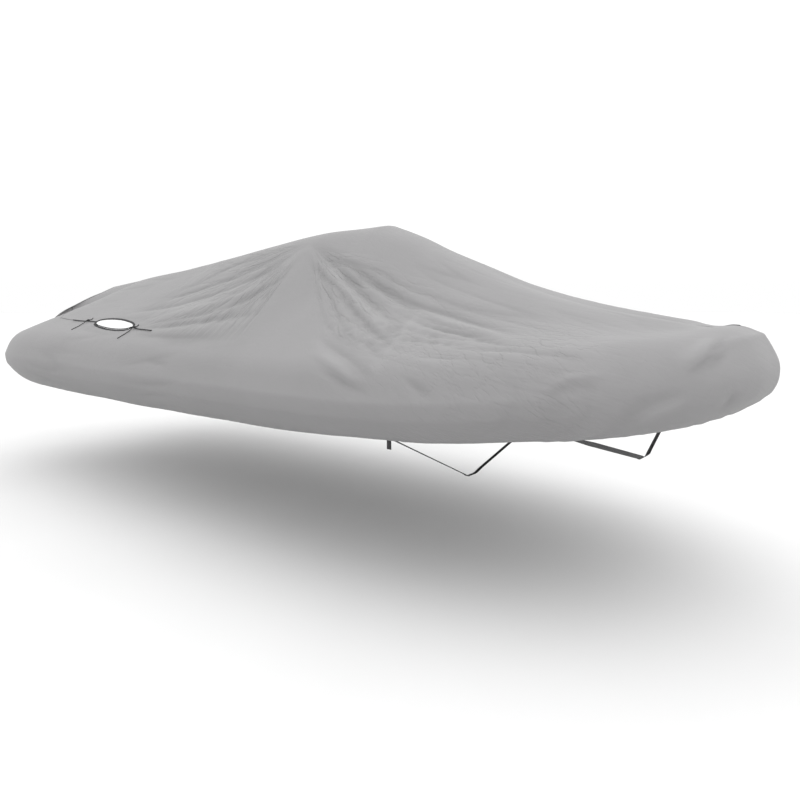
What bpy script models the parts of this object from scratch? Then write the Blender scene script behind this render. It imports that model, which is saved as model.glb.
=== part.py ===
"""Fitted cover for a rigid inflatable boat, as it hangs over the boat on its trailer.

+X runs to the bow, +Y to port and +Z up.  The origin is under the cloth at its crown.
"""
import math

import bmesh
import bpy
import numpy as np
from mathutils.bvhtree import BVHTree

# Cloth
CLOTH_THICKNESS = 0.002

# Edge of the cover from the stern centre round the starboard side to the bow, one row a station.
# x, y, z: widest point of the edge; radius: the bend over the tube there;
# hem_angle: degrees below level where the bend ends; drop: cloth that hangs straight below it;
# spine_x: where this station's section meets the centre line; slit: share of the way out from
# there to the tube at which the slit's line runs; steps: sections to the next row.
EDGE_COLUMNS = ("x", "y", "z", "radius", "hem_angle", "drop", "spine_x", "slit", "steps")
EDGE = (
    (-3.80, 0.00, -0.485, 0.050, 0, 0.20, -3.70, 0.82, 2),
    (-3.81, -0.35, -0.555, 0.070, 0, 0.22, -3.63, 0.82, 2),
    (-3.86, -0.61, -0.760, 0.140, 20, 0.22, -3.55, 0.82, 2),
    (-4.00, -0.70, -1.000, 0.215, 60, 0.06, -3.47, 0.82, 1),
    (-4.14, -0.80, -1.075, 0.225, 72, 0.00, -3.40, 0.82, 2),
    (-4.22, -0.98, -1.095, 0.230, 74, 0.00, -3.32, 0.82, 2),
    (-4.14, -1.12, -1.100, 0.240, 76, 0.00, -3.24, 0.82, 1),
    (-3.96, -1.197, -1.102, 0.260, 80, 0.00, -3.16, 0.82, 2),
    (-3.65, -1.250, -1.105, 0.290, 86, 0.00, -3.05, 0.82, 2),
    (-3.25, -1.260, -1.108, 0.300, 88, 0.00, -2.90, 0.845, 3),
    (-2.76, -1.260, -1.108, 0.305, 90, 0.00, -2.66, 0.864, 2),
    (-2.60, -1.260, -1.110, 0.305, 90, 0.00, -2.56, 0.864, 7),
    (-1.90, -1.260, -1.110, 0.300, 90, 0.00, -1.90, 0.897, 2),
    (-1.745, -1.260, -1.110, 0.300, 90, 0.00, -1.745, 0.911, 4),
    (-1.00, -1.260, -1.110, 0.290, 84, 0.00, -1.00, 0.920, 9),
    (0.00, -1.260, -1.108, 0.275, 68, 0.00, 0.00, 0.900, 7),
    (0.70, -1.245, -1.098, 0.262, 56, 0.00, 0.65, 0.870, 5),
    (1.20, -1.190, -1.070, 0.255, 60, 0.00, 1.05, 0.862, 3),
    (1.60, -1.090, -1.030, 0.245, 62, 0.00, 1.32, 0.862, 2),
    (1.90, -0.960, -1.003, 0.240, 66, 0.00, 1.50, 0.862, 2),
    (2.16, -0.780, -0.972, 0.235, 73, 0.00, 1.65, 0.862, 2),
    (2.37, -0.550, -0.945, 0.225, 76, 0.00, 1.78, 0.862, 1),
    (2.50, -0.280, -0.914, 0.220, 76, 0.00, 1.88, 0.862, 2),
    (2.55, 0.000, -0.900, 0.215, 76, 0.00, 1.96, 0.862, 0),
)

# Centre line and the shoulder beside it, below the crown.
RIDGE_COLUMNS = ("x", "ridge", "shoulder_y", "shoulder", "sag")
RIDGE = (
    (-3.80, -0.432, 0.25, -0.445, 0.000),
    (-3.06, -0.350, 0.28, -0.375, 0.010),
    (-2.20, -0.257, 0.30, -0.293, 0.015),
    (-1.54, -0.172, 0.33, -0.232, 0.020),
    (-0.96, -0.098, 0.38, -0.180, 0.020),
    (-0.46, -0.042, 0.40, -0.140, 0.015),
    (-0.09, -0.005, 0.31, -0.131, 0.020),
    (0.00, 0.000, 0.30, -0.132, 0.020),
    (0.06, -0.018, 0.295, -0.145, 0.022),
    (0.25, -0.092, 0.28, -0.190, 0.030),
    (0.47, -0.194, 0.27, -0.275, 0.035),
    (0.70, -0.289, 0.27, -0.355, 0.035),
    (1.08, -0.450, 0.28, -0.490, 0.030),
    (1.41, -0.555, 0.30, -0.580, 0.020),
    (1.96, -0.685, 0.30, -0.695, 0.010),
)

# Rows of cloth across each section: share of the way from the centre line to the tube.
TENT_ROWS = (0.0, 0.09, 0.18, 0.28, 0.38, 0.48, 0.58, 0.67, 0.76)
# Rows from the slit's outboard edge to the tube, and over the tube to the hem.
TENT_ROWS_OUTER = (0.5, 1.0)
WRAP_ROWS = (0.2, 0.4, 0.6, 0.8, 1.0)
SLIT_HALF_GAP = 0.008

# Folds that run down from the peak and along the side, as lines on the starboard half seen from
# above.  height: out of the cloth, or into it where it is negative; port: share on the other half.
FOLD_COLUMNS = ("x0", "y0", "x1", "y1", "width", "height", "port")
FOLDS = (
    (-0.40, -0.42, 0.82, -0.85, 0.070, -0.022, 0.8),
    (-0.20, -0.54, 0.82, -0.95, 0.070, 0.026, 0.9),
    (0.05, -0.72, 0.85, -1.08, 0.075, -0.022, 1.0),
    (0.20, -0.54, 0.78, -0.64, 0.060, -0.014, 0.5),
    (0.76, -0.60, 1.50, -0.72, 0.070, -0.018, 0.9),
    (0.78, -0.70, 1.55, -0.84, 0.070, 0.020, 0.7),
    (0.86, -0.86, 1.60, -0.93, 0.060, -0.010, 0.6),
    (0.25, -1.02, 0.85, -1.17, 0.070, 0.012, 0.8),
    (-0.58, -0.48, -1.25, -0.83, 0.090, 0.018, 0.7),
    (-0.60, -0.55, -2.20, -0.84, 0.090, -0.016, 0.9),
    (-0.45, -0.90, -1.62, -1.03, 0.080, -0.020, 1.0),
    (-0.55, -1.07, -1.50, -1.10, 0.080, 0.012, 0.8),
    (2.36, -0.36, 2.24, -0.66, 0.060, -0.012, 0.8),
)

# Opening for the leg of the boat's arch, in the slit, one to each side.
LEG_OPENING_AFT = -2.60
LEG_OPENING_FORE = -1.90
LEG_OPENING_HALF_WIDTH = 0.055
BINDING_WIDTH = 0.016
BINDING_THICKNESS = 0.0015
BINDING_LIFT = 0.0012

# Cord along the slit and the two short ties that cross it beside the leg, on the starboard side.
CORD_DIAMETER = 0.008
CORD_LIFT = 0.0100
CORD_LIFT_AT_TIE = 0.0175
CORD_AFT = -3.10
CORD_FORE = -1.54
CORD_POINT_SPACING = 0.022
TIE_DIAMETER = 0.006
TIE_LIFT = 0.0070
TIE_PITCH = 0.0075
# x: where the tie crosses the cord; outboard, inboard: reach of its two free ends;
# out_slant, in_slant: how far forward each end lies of the crossing.
TIE_COLUMNS = ("name", "x", "outboard", "out_slant", "inboard", "in_slant")
TIES = (
    ("aft", -2.75, 0.115, -0.060, 0.050, -0.035),
    ("fore", -1.82, 0.100, -0.070, 0.040, -0.030),
)

# Webbing under the hull, from one hem to the other.
# x: where it leaves the hem; keel_x, keel_z: its low point on the centre line;
# cant: degrees that its forward edge is raised, lying on the flared bow.
STRAP_COLUMNS = ("name", "x", "keel_x", "keel_z", "width", "cant")
STRAPS = (
    ("mid", 0.925, 0.70, -1.770, 0.025, 0),
    ("bow", 1.825, 1.88, -1.461, 0.038, 35),
)
STRAP_THICKNESS = 0.002
STRAP_LAP = 0.030
STRAP_CLEAR = 0.0015
KEEL_BEND = 0.04
TAIL_X = 0.893
TAIL_DROP = 0.050
TAIL_WIDTH = 0.028
LOOP_X = -3.30
LOOP_WIDTH = 0.038
LOOP_DROP = 0.022
LOOP_BEND = 0.005


def column(rows, names, name):
    return np.array([row[names.index(name)] for row in rows], float)


def smooth_curve(knots, values, at):
    """Cubic through the knots with slopes held to the neighbours' mean."""
    step = np.diff(knots)
    rise = np.diff(values) / step
    slope = np.concatenate(([rise[0]], (rise[:-1] + rise[1:]) / 2.0, [rise[-1]]))
    flat = rise[:-1] * rise[1:] <= 0.0
    slope[1:-1][flat] = 0.0
    i = np.clip(np.searchsorted(knots, at) - 1, 0, len(step) - 1)
    t = (at - knots[i]) / step[i]
    h = step[i]
    return (
        (2 * t**3 - 3 * t**2 + 1) * values[i]
        + (t**3 - 2 * t**2 + t) * h * slope[i]
        + (3 * t**2 - 2 * t**3) * values[i + 1]
        + (t**3 - t**2) * h * slope[i + 1]
    )


def edge_sections():
    """Every column of EDGE at every section, between the rows as well."""
    steps = column(EDGE, EDGE_COLUMNS, "steps").astype(int)
    at = np.concatenate([i + np.arange(n) / n for i, n in enumerate(steps) if n])
    at = np.append(at, len(EDGE) - 1.0)
    knots = np.arange(len(EDGE), dtype=float)
    names = EDGE_COLUMNS[:-1]
    return {n: smooth_curve(knots, column(EDGE, EDGE_COLUMNS, n), at) for n in names}


def edge_normals(edge):
    """Level direction square to the edge, pointing out of the cover."""
    path = np.stack([edge["x"], edge["y"]], 1)
    before = np.vstack([[path[1, 0], -path[1, 1]], path[:-1]])
    after = np.vstack([path[1:], [path[-2, 0], -path[-2, 1]]])
    along = after - before
    out = np.stack([along[:, 1], -along[:, 0]], 1)
    out = -out / np.linalg.norm(out, axis=1)[:, None]
    return out * np.sign(out[len(out) // 2, 1]) * -1.0


def ridge_at(x, name):
    return smooth_curve(
        column(RIDGE, RIDGE_COLUMNS, "x"), column(RIDGE, RIDGE_COLUMNS, name), x
    )


def slit_gap(x):
    """Half the width of the slit, wide where the arch leg stands in it."""
    middle = (LEG_OPENING_AFT + LEG_OPENING_FORE) / 2.0
    half = (LEG_OPENING_FORE - LEG_OPENING_AFT) / 2.0
    inside = 1.0 - ((x - middle) / half) ** 2
    if inside <= 0.001:
        return SLIT_HALF_GAP
    return SLIT_HALF_GAP + (LEG_OPENING_HALF_WIDTH - SLIT_HALF_GAP) * math.sqrt(inside)


def section(edge, out, j):
    """Points of one section from the centre line to the hem."""
    spine_x = edge["spine_x"][j]
    top = ridge_at(np.array([spine_x]), "ridge")[0]
    shoulder_y = ridge_at(np.array([spine_x]), "shoulder_y")[0]
    shoulder = ridge_at(np.array([spine_x]), "shoulder")[0]
    sag = ridge_at(np.array([spine_x]), "sag")[0]
    radius = edge["radius"][j]
    tip = np.array([edge["x"][j], edge["y"][j]])
    core = tip - radius * out[j]
    spine = np.array([spine_x, 0.0])
    bend = math.radians(70.0)
    for _ in range(12):
        leave = core + radius * math.cos(bend) * out[j]
        leave_z = edge["z"][j] + radius * math.sin(bend)
        reach = np.linalg.norm(leave - spine)
        shoulder_f = min(shoulder_y / max(reach, 0.01), 0.55)
        run = (1.0 - shoulder_f) * reach
        slope = max(shoulder - leave_z, 0.0) / max(run, 0.01)
        bend = 0.5 * bend + 0.5 * (math.pi / 2.0 - math.atan(slope))
    slit = edge["slit"][j]
    gap = slit_gap(edge["x"][j]) / reach
    outer = tuple(slit + gap + (1.0 - slit - gap) * share for share in TENT_ROWS_OUTER)
    rows = TENT_ROWS + (slit - gap, slit + gap) + outer
    points = []
    knots = np.array([0.0, shoulder_f, 1.0])
    for f in rows:
        flat = spine + (leave - spine) * f
        z = section_height(f, knots, top, shoulder, leave_z, reach, slope)
        if f > shoulder_f:
            g = (f - shoulder_f) / (1.0 - shoulder_f)
            z -= sag * (4.0 * g * (1.0 - g)) ** 2
        points.append((flat[0], flat[1], z))
    low = -math.radians(edge["hem_angle"][j])
    arc = radius * (bend - low)
    length = arc + edge["drop"][j]
    for w in WRAP_ROWS:
        run = w * length
        angle = bend - min(run, arc) / radius
        hang = max(run - arc, 0.0)
        level = radius * math.cos(angle) + hang * math.sin(angle)
        rise = radius * math.sin(angle) - hang * math.cos(angle)
        flat = core + level * out[j]
        points.append((flat[0], flat[1], edge["z"][j] + rise))
    return points


def section_height(f, knots, top, shoulder, leave_z, reach, slope):
    """Rounded over the centre, straight from the shoulder to the tube."""
    first = knots[1]
    fall = slope * reach
    if f < first:
        t = f / first
        return (
            (2 * t**3 - 3 * t**2 + 1) * top
            + (3 * t**2 - 2 * t**3) * shoulder
            + (t**3 - t**2) * first * -fall
        )
    t = (f - first) / (1.0 - first)
    return shoulder + (leave_z - shoulder) * t


def cover_grid():
    """Sections by rows of points for the starboard half, on the cloth's outer face."""
    edge = edge_sections()
    out = edge_normals(edge)
    out[0] = (-1.0, 0.0)
    out[-1] = (1.0, 0.0)
    return np.array([section(edge, out, j) for j in range(len(edge["x"]))])


def opening_cells(grid):
    """Cells of the grid that the leg opening leaves out."""
    row = len(TENT_ROWS)
    x = grid[:, row, 0]
    aft = LEG_OPENING_AFT - 0.001
    fore = LEG_OPENING_FORE + 0.001
    return {(j, row) for j in range(len(x) - 1) if x[j] >= aft and x[j + 1] <= fore}


def cover_faces(columns, rows, holes):
    """Both halves of the cover as one set of points and quads."""
    def key(side, j, k):
        if k == 0 or j == 0 or j == columns - 1:
            return (0, j, k)
        return (side, j, k)

    order = {}
    faces = []
    for side in (-1, 1):
        for j in range(columns - 1):
            for k in range(rows - 1):
                if (j, k) in holes:
                    continue
                ring = [(j, k), (j + 1, k), (j + 1, k + 1), (j, k + 1)]
                if side == 1:
                    ring.reverse()
                faces.append([order.setdefault(key(side, a, b), len(order)) for a, b in ring])
    return order, faces


def fold_heights(grid, side):
    """How far each point stands out of the plain section, for one half."""
    height = np.zeros(grid.shape[:2])
    for row in FOLDS:
        fold = dict(zip(FOLD_COLUMNS, row))
        start = np.array([fold["x0"], fold["y0"]])
        along = np.array([fold["x1"], fold["y1"]]) - start
        away = grid[:, :, :2] - start
        share = np.clip((away @ along) / (along @ along), 0.0, 1.0)
        aside = np.linalg.norm(away - share[:, :, None] * along, axis=2)
        taper = np.sin(np.pi * np.clip(share * 0.96 + 0.02, 0.0, 1.0)) ** 0.7
        scale = fold["port"] if side == 1 else 1.0
        height += scale * fold["height"] * taper * np.exp(-((aside / fold["width"]) ** 2))
    return height


def grid_normals(grid):
    along = np.gradient(grid, axis=0)
    across = np.gradient(grid, axis=1)
    normal = np.cross(across, along)
    normal /= np.linalg.norm(normal, axis=2)[:, :, None] + 1e-12
    return normal * np.sign(normal[len(grid) // 2, 1, 2])


def half_surface(side):
    """Grid of one half with its folds, lowered so the crown's underside is at zero."""
    grid = cover_grid()
    grid = grid + fold_heights(grid, side)[:, :, None] * grid_normals(grid)
    grid[:, 0, 1] = 0.0
    grid[[0, -1], :, 1] = 0.0
    grid[:, :, 2] += CLOTH_THICKNESS
    if side == 1:
        grid[:, :, 1] *= -1.0
    return grid


def plain_material(name, colour, roughness):
    material = bpy.data.materials.new(name)
    material.use_nodes = True
    shader = material.node_tree.nodes["Principled BSDF"]
    shader.inputs["Base Color"].default_value = colour
    shader.inputs["Roughness"].default_value = roughness
    return material


def cloth_material():
    return plain_material("grey_polyester", (0.37, 0.37, 0.36, 1.0), 0.85)


def binding_material():
    return plain_material("black_binding", (0.018, 0.018, 0.02, 1.0), 0.8)


def cord_material():
    return plain_material("black_cord", (0.02, 0.02, 0.022, 1.0), 0.75)


def webbing_material():
    return plain_material("black_webbing", (0.015, 0.015, 0.017, 1.0), 0.7)


def add_object(name, mesh, material):
    mesh.materials.append(material)
    item = bpy.data.objects.new(name, mesh)
    bpy.context.scene.collection.objects.link(item)
    for face in mesh.polygons:
        face.use_smooth = True
    return item


def mesh_from(name, points, faces):
    shape = bmesh.new()
    corners = [shape.verts.new(p) for p in points]
    for ring in faces:
        shape.faces.new([corners[i] for i in ring])
    bmesh.ops.recalc_face_normals(shape, faces=shape.faces)
    bmesh.ops.triangulate(shape, faces=shape.faces)
    mesh = bpy.data.meshes.new(name)
    shape.to_mesh(mesh)
    shape.free()
    return mesh


def build_cover(halves):
    columns, rows = halves[-1].shape[:2]
    order, faces = cover_faces(columns, rows, opening_cells(halves[-1]))
    shape = bmesh.new()
    corners = [None] * len(order)
    for (side, j, k), i in order.items():
        if side == 0:
            point = (halves[-1][j, k] + halves[1][j, k]) / 2.0
            point[1] = 0.0
        else:
            point = halves[side][j, k]
        corners[i] = point
    corners = [shape.verts.new(p) for p in corners]
    for ring in faces:
        shape.faces.new([corners[i] for i in ring])
    bmesh.ops.recalc_face_normals(shape, faces=shape.faces)
    shape.normal_update()
    give_thickness(shape)
    bmesh.ops.triangulate(shape, faces=shape.faces)
    mesh = bpy.data.meshes.new("cover_cloth")
    shape.to_mesh(mesh)
    shape.free()
    return add_object("cover_cloth", mesh, cloth_material())


def give_thickness(shape):
    """Second face inside the first, joined to it along every free edge."""
    outer = list(shape.verts)
    sheets = list(shape.faces)
    rim_pairs = []
    for edge in shape.edges:
        if edge.is_boundary:
            loop = edge.link_loops[0]
            rim_pairs.append((loop.vert, loop.link_loop_next.vert))
    inner = {v: shape.verts.new(v.co - v.normal * CLOTH_THICKNESS) for v in outer}
    for face in sheets:
        shape.faces.new([inner[v] for v in reversed(face.verts)])
    for a, b in rim_pairs:
        shape.faces.new([b, a, inner[a], inner[b]])


def opening_loop(grid):
    """Edge of the leg opening as (point, way out over the cloth, up), once round."""
    row = len(TENT_ROWS)
    normal = grid_normals(grid)
    normal *= np.sign(normal[:, :, 2:3])
    inside = sorted({j for j, _ in opening_cells(grid)})
    span = inside + [inside[-1] + 1]
    loop = []
    for j in span:
        loop.append((grid[j, row], grid[j, row - 1] - grid[j, row], normal[j, row]))
    for j in reversed(span):
        loop.append((grid[j, row + 1], grid[j, row + 2] - grid[j, row + 1], normal[j, row + 1]))
    count = len(span)
    ends = {0: -1.0, count - 1: 1.0, count: 1.0, 2 * count - 1: -1.0}
    result = []
    for i, (point, out, up) in enumerate(loop):
        out = out / np.linalg.norm(out)
        if i in ends:
            out = out + np.array([ends[i], 0.0, 0.0])
            out /= np.linalg.norm(out)
        result.append((point, out, up))
    return result


def build_binding(name, grid, material):
    """Flat tape over the edge of one leg opening."""
    loop = opening_loop(grid)
    points = []
    for point, out, up in loop:
        base = point + up * BINDING_LIFT
        points += [
            base,
            base + out * BINDING_WIDTH,
            base + out * BINDING_WIDTH + up * BINDING_THICKNESS,
            base + up * BINDING_THICKNESS,
        ]
    faces = []
    count = len(loop)
    for i in range(count):
        a, b = 4 * i, 4 * ((i + 1) % count)
        for n in range(4):
            m = (n + 1) % 4
            faces.append([a + n, b + n, b + m, a + m])
    return add_object(name, mesh_from(name, points, faces), material)


def tube(name, points, diameter, material):
    """Round cord along the points."""
    curve = bpy.data.curves.new(name, "CURVE")
    curve.dimensions = "3D"
    curve.resolution_u = 1
    curve.render_resolution_u = 0
    curve.bevel_depth = diameter / 2.0
    curve.bevel_resolution = 2
    curve.use_fill_caps = True
    spline = curve.splines.new("POLY")
    spline.points.add(len(points) - 1)
    for knot, point in zip(spline.points, points):
        knot.co = (point[0], point[1], point[2], 1.0)
    curve.materials.append(material)
    item = bpy.data.objects.new(name, curve)
    bpy.context.scene.collection.objects.link(item)
    return item


def cloth_tree(cover):
    mesh = cover.data
    points = [v.co.copy() for v in mesh.vertices]
    return BVHTree.FromPolygons(points, [tuple(f.vertices) for f in mesh.polygons])


def cloth_height(tree, x, y):
    """Height of the cloth's outer face straight above a point."""
    return tree.ray_cast((x, y, 1.0), (0.0, 0.0, -1.0))[0].z


def slit_line(grid, at):
    """Points on the outboard edge of the slit at the given lengths along the boat."""
    row = len(TENT_ROWS) + 1
    rising = np.argmin(grid[:, row, 0])
    x, y, z = grid[rising:, row].T
    return np.stack([at, np.interp(at, x, y), np.interp(at, x, z)], 1)


def cord_line(grid):
    """Centre of the cord that lies along the slit, lifted where a tie goes round it."""
    count = int(round((CORD_FORE - CORD_AFT) / CORD_POINT_SPACING)) + 1
    line = slit_line(grid, np.linspace(CORD_AFT, CORD_FORE, count))
    lift = np.full(count, CORD_LIFT)
    for row in TIES:
        near = np.exp(-(((line[:, 0] - row[1]) / 0.035) ** 2))
        lift += (CORD_LIFT_AT_TIE - CORD_LIFT) * near
    line[:, 2] += lift
    return line


def tie_line(grid, tree, tie, side):
    """One turn round the cord, with a free end on the cloth to each side."""
    cord = cord_line(grid)
    x = tie["x"]
    y, z = (np.interp(x, cord[:, 0], cord[:, i]) for i in (1, 2))
    turn = (CORD_DIAMETER + TIE_DIAMETER) / 2.0 + 0.0008
    points = []
    for share in np.linspace(1.0, 0.22, 9):
        px = x - TIE_PITCH / 2.0 + tie["out_slant"] * share
        py = y + side * (turn + tie["outboard"] * share)
        near = max(0.0, 1.0 - (share - 0.22) / 0.35)
        points.append((px, py, cloth_height(tree, px, py) + TIE_LIFT + 0.006 * near))
    steps = 16
    for n in range(steps + 1):
        angle = math.radians(50.0 + 440.0 * n / steps)
        px = x + TIE_PITCH * (n / steps - 0.5) * 1.25
        points.append((px, y + side * turn * math.cos(angle), z + turn * math.sin(angle)))
    for share in np.linspace(0.25, 1.0, 4):
        px = x + TIE_PITCH / 2.0 + tie["in_slant"] * share
        py = y - side * (turn + tie["inboard"] * share)
        near = max(0.0, 1.0 - (share - 0.25) / 0.5)
        points.append((px, py, cloth_height(tree, px, py) + TIE_LIFT + 0.004 * near))
    return points


def build_cords(grid, tree, side, side_name, material):
    tube("slit_cord_" + side_name, cord_line(grid), CORD_DIAMETER, material)
    for row in TIES:
        tie = dict(zip(TIE_COLUMNS, row))
        name = "tie_" + tie["name"] + "_" + side_name
        tube(name, tie_line(grid, tree, tie, side), TIE_DIAMETER, material)


def ribbon(name, points, across, width, material):
    """Flat strap solid along the points; across gives the way its width lies at each."""
    points = np.array(points, float)
    across = np.array(across, float)
    along = np.gradient(points, axis=0)
    along /= np.linalg.norm(along, axis=1)[:, None]
    across -= (across * along).sum(1)[:, None] * along
    across /= np.linalg.norm(across, axis=1)[:, None]
    lift = np.cross(along, across) * STRAP_THICKNESS / 2.0
    half = across * width / 2.0
    corners = np.stack([points - half - lift, points + half - lift,
                        points + half + lift, points - half + lift], 1).reshape(-1, 3)
    faces = [[0, 1, 2, 3]]
    last = 4 * (len(points) - 1)
    for a in range(0, last, 4):
        for n in range(4):
            m = (n + 1) % 4
            faces.append([a + n, a + m, a + 4 + m, a + 4 + n])
    faces.append([last, last + 1, last + 2, last + 3])
    return add_object(name, mesh_from(name, [tuple(c) for c in corners], faces), material)


def hem_frame(grid, x):
    """Hem point, its line along the edge, the way down over the cloth, and the way in."""
    hem = grid[:, -1]
    rising = np.argmin(hem[:, 0])
    j = rising + int(np.searchsorted(hem[rising:, 0], x)) - 1
    share = (x - hem[j, 0]) / (hem[j + 1, 0] - hem[j, 0])
    point = hem[j] + (hem[j + 1] - hem[j]) * share
    above = grid[j, -2] + (grid[j + 1, -2] - grid[j, -2]) * share
    edge = hem[j + 1] - hem[j]
    edge /= np.linalg.norm(edge)
    down = point - above
    down -= (down @ edge) * edge
    down /= np.linalg.norm(down)
    inward = np.cross(edge, down)
    inward *= -np.sign(inward[1]) * np.sign(point[1])
    return point, edge, down, inward


def build_strap(halves, strap, material):
    """Webbing from inside one hem, under the keel, to inside the other hem."""
    width = strap["width"]
    clear = CLOTH_THICKNESS + STRAP_CLEAR + STRAP_THICKNESS / 2.0
    point, edge, down, inward = hem_frame(halves[-1], strap["x"])
    keel = np.array([strap["keel_x"], 0.0, strap["keel_z"]])
    start = point + inward * (clear + 0.0025)
    way = keel - start
    cant = math.radians(strap["cant"])
    flat = np.array([math.cos(cant), 0.0, math.sin(cant)])
    half = [start - down * STRAP_LAP, start - down * STRAP_LAP / 2.0, start]
    across = [edge, edge, edge]
    for share in (0.03, 0.07, 0.12, 0.2, 0.35, 0.5, 0.65, 0.8, 0.9):
        half.append(start + way * share)
        turned = min(share / 0.2, 1.0)
        across.append(edge * (1.0 - turned) + flat * turned)
    span = np.linalg.norm(way)
    for near in (KEEL_BEND, KEEL_BEND * 0.5):
        half.append(keel - way * near / span + np.array([0.0, 0.0, 0.35 * (KEEL_BEND - near)]))
        across.append(flat)
    bottom = keel + np.array([0.0, 0.0, 0.3 * KEEL_BEND])
    other = halves[1]
    flip = np.array([1.0, -1.0, 1.0])
    shift = hem_frame(other, strap["x"])[0] - point * flip
    fade = [1.0, 1.0, 1.0, 0.9, 0.8, 0.7, 0.5, 0.3, 0.1, 0.0, 0.0, 0.0, 0.0, 0.0]
    port = [p * flip + shift * f for p, f in zip(half, fade)]
    points = half + [bottom] + port[::-1]
    across = across + [flat] + [a * flip for a in across[::-1]]
    ribbon("belly_strap_" + strap["name"], points, across, width, material)


def build_tail(grid, material):
    """Loose end of the middle strap, hanging at the starboard hem."""
    clear = CLOTH_THICKNESS + STRAP_CLEAR + STRAP_THICKNESS / 2.0
    point, edge, down, inward = hem_frame(grid, TAIL_X)
    start = point + inward * (clear + 0.0025)
    points = [start - down * 0.025, start - down * 0.01, start + down * 0.004]
    for drop in (0.014, 0.03, TAIL_DROP):
        points.append(start + down * 0.006 + np.array([0.0, 0.0, -drop]))
    ribbon("strap_tail", points, [edge] * len(points), TAIL_WIDTH, material)


def build_loop(name, grid, material):
    """Short webbing loop sewn inside the hem near the stern."""
    clear = CLOTH_THICKNESS + STRAP_CLEAR + STRAP_THICKNESS / 2.0
    point, edge, down, inward = hem_frame(grid, LOOP_X)
    start = point + inward * (clear + 0.002)
    points = [start - down * 0.025, start, start + down * (LOOP_DROP - LOOP_BEND)]
    for angle in (30, 60, 90, 120, 150):
        a = math.radians(angle)
        turn = inward * LOOP_BEND * (1.0 - math.cos(a)) + down * LOOP_BEND * math.sin(a)
        points.append(start + down * (LOOP_DROP - LOOP_BEND) + turn)
    back = start + inward * 2.0 * LOOP_BEND
    points += [back + down * (LOOP_DROP - LOOP_BEND), back, back - down * 0.02]
    ribbon(name, points, [edge] * len(points), LOOP_WIDTH, material)


def clear_scene():
    for item in list(bpy.data.objects):
        bpy.data.objects.remove(item, do_unlink=True)


def main():
    clear_scene()
    halves = {-1: half_surface(-1), 1: half_surface(1)}
    cover = build_cover(halves)
    tree = cloth_tree(cover)
    binding = binding_material()
    cord = cord_material()
    webbing = webbing_material()
    for side, side_name in ((-1, "starboard"), (1, "port")):
        build_binding("opening_binding_" + side_name, halves[side], binding)
        build_cords(halves[side], tree, side, side_name, cord)
        build_loop("hem_loop_" + side_name, halves[side], webbing)
    for row in STRAPS:
        build_strap(halves, dict(zip(STRAP_COLUMNS, row)), webbing)
    build_tail(halves[-1], webbing)


main()
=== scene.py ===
"""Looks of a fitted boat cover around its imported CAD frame: cloth, bindings, cords and webbing.

+X runs to the bow, +Y to port and +Z up, in metres.  The origin is under the cloth's crown.
"""
import math

import bmesh
import bpy
import numpy as np
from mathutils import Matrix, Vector, noise
from mathutils.bvhtree import BVHTree


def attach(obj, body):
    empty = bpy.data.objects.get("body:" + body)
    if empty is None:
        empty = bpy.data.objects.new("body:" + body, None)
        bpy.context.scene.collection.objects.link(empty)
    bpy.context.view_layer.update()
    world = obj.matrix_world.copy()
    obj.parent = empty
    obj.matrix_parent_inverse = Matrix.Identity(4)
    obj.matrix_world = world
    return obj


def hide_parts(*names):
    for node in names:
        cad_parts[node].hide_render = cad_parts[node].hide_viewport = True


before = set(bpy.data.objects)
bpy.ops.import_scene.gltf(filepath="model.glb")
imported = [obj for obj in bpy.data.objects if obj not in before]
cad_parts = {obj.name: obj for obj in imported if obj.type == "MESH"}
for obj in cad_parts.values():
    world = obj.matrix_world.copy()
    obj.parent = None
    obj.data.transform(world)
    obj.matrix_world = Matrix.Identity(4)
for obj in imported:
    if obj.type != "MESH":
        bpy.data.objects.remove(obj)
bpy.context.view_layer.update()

# ---------------------------------------------------------------- the cover's shape
CLOTH_THICKNESS = 0.002

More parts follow.
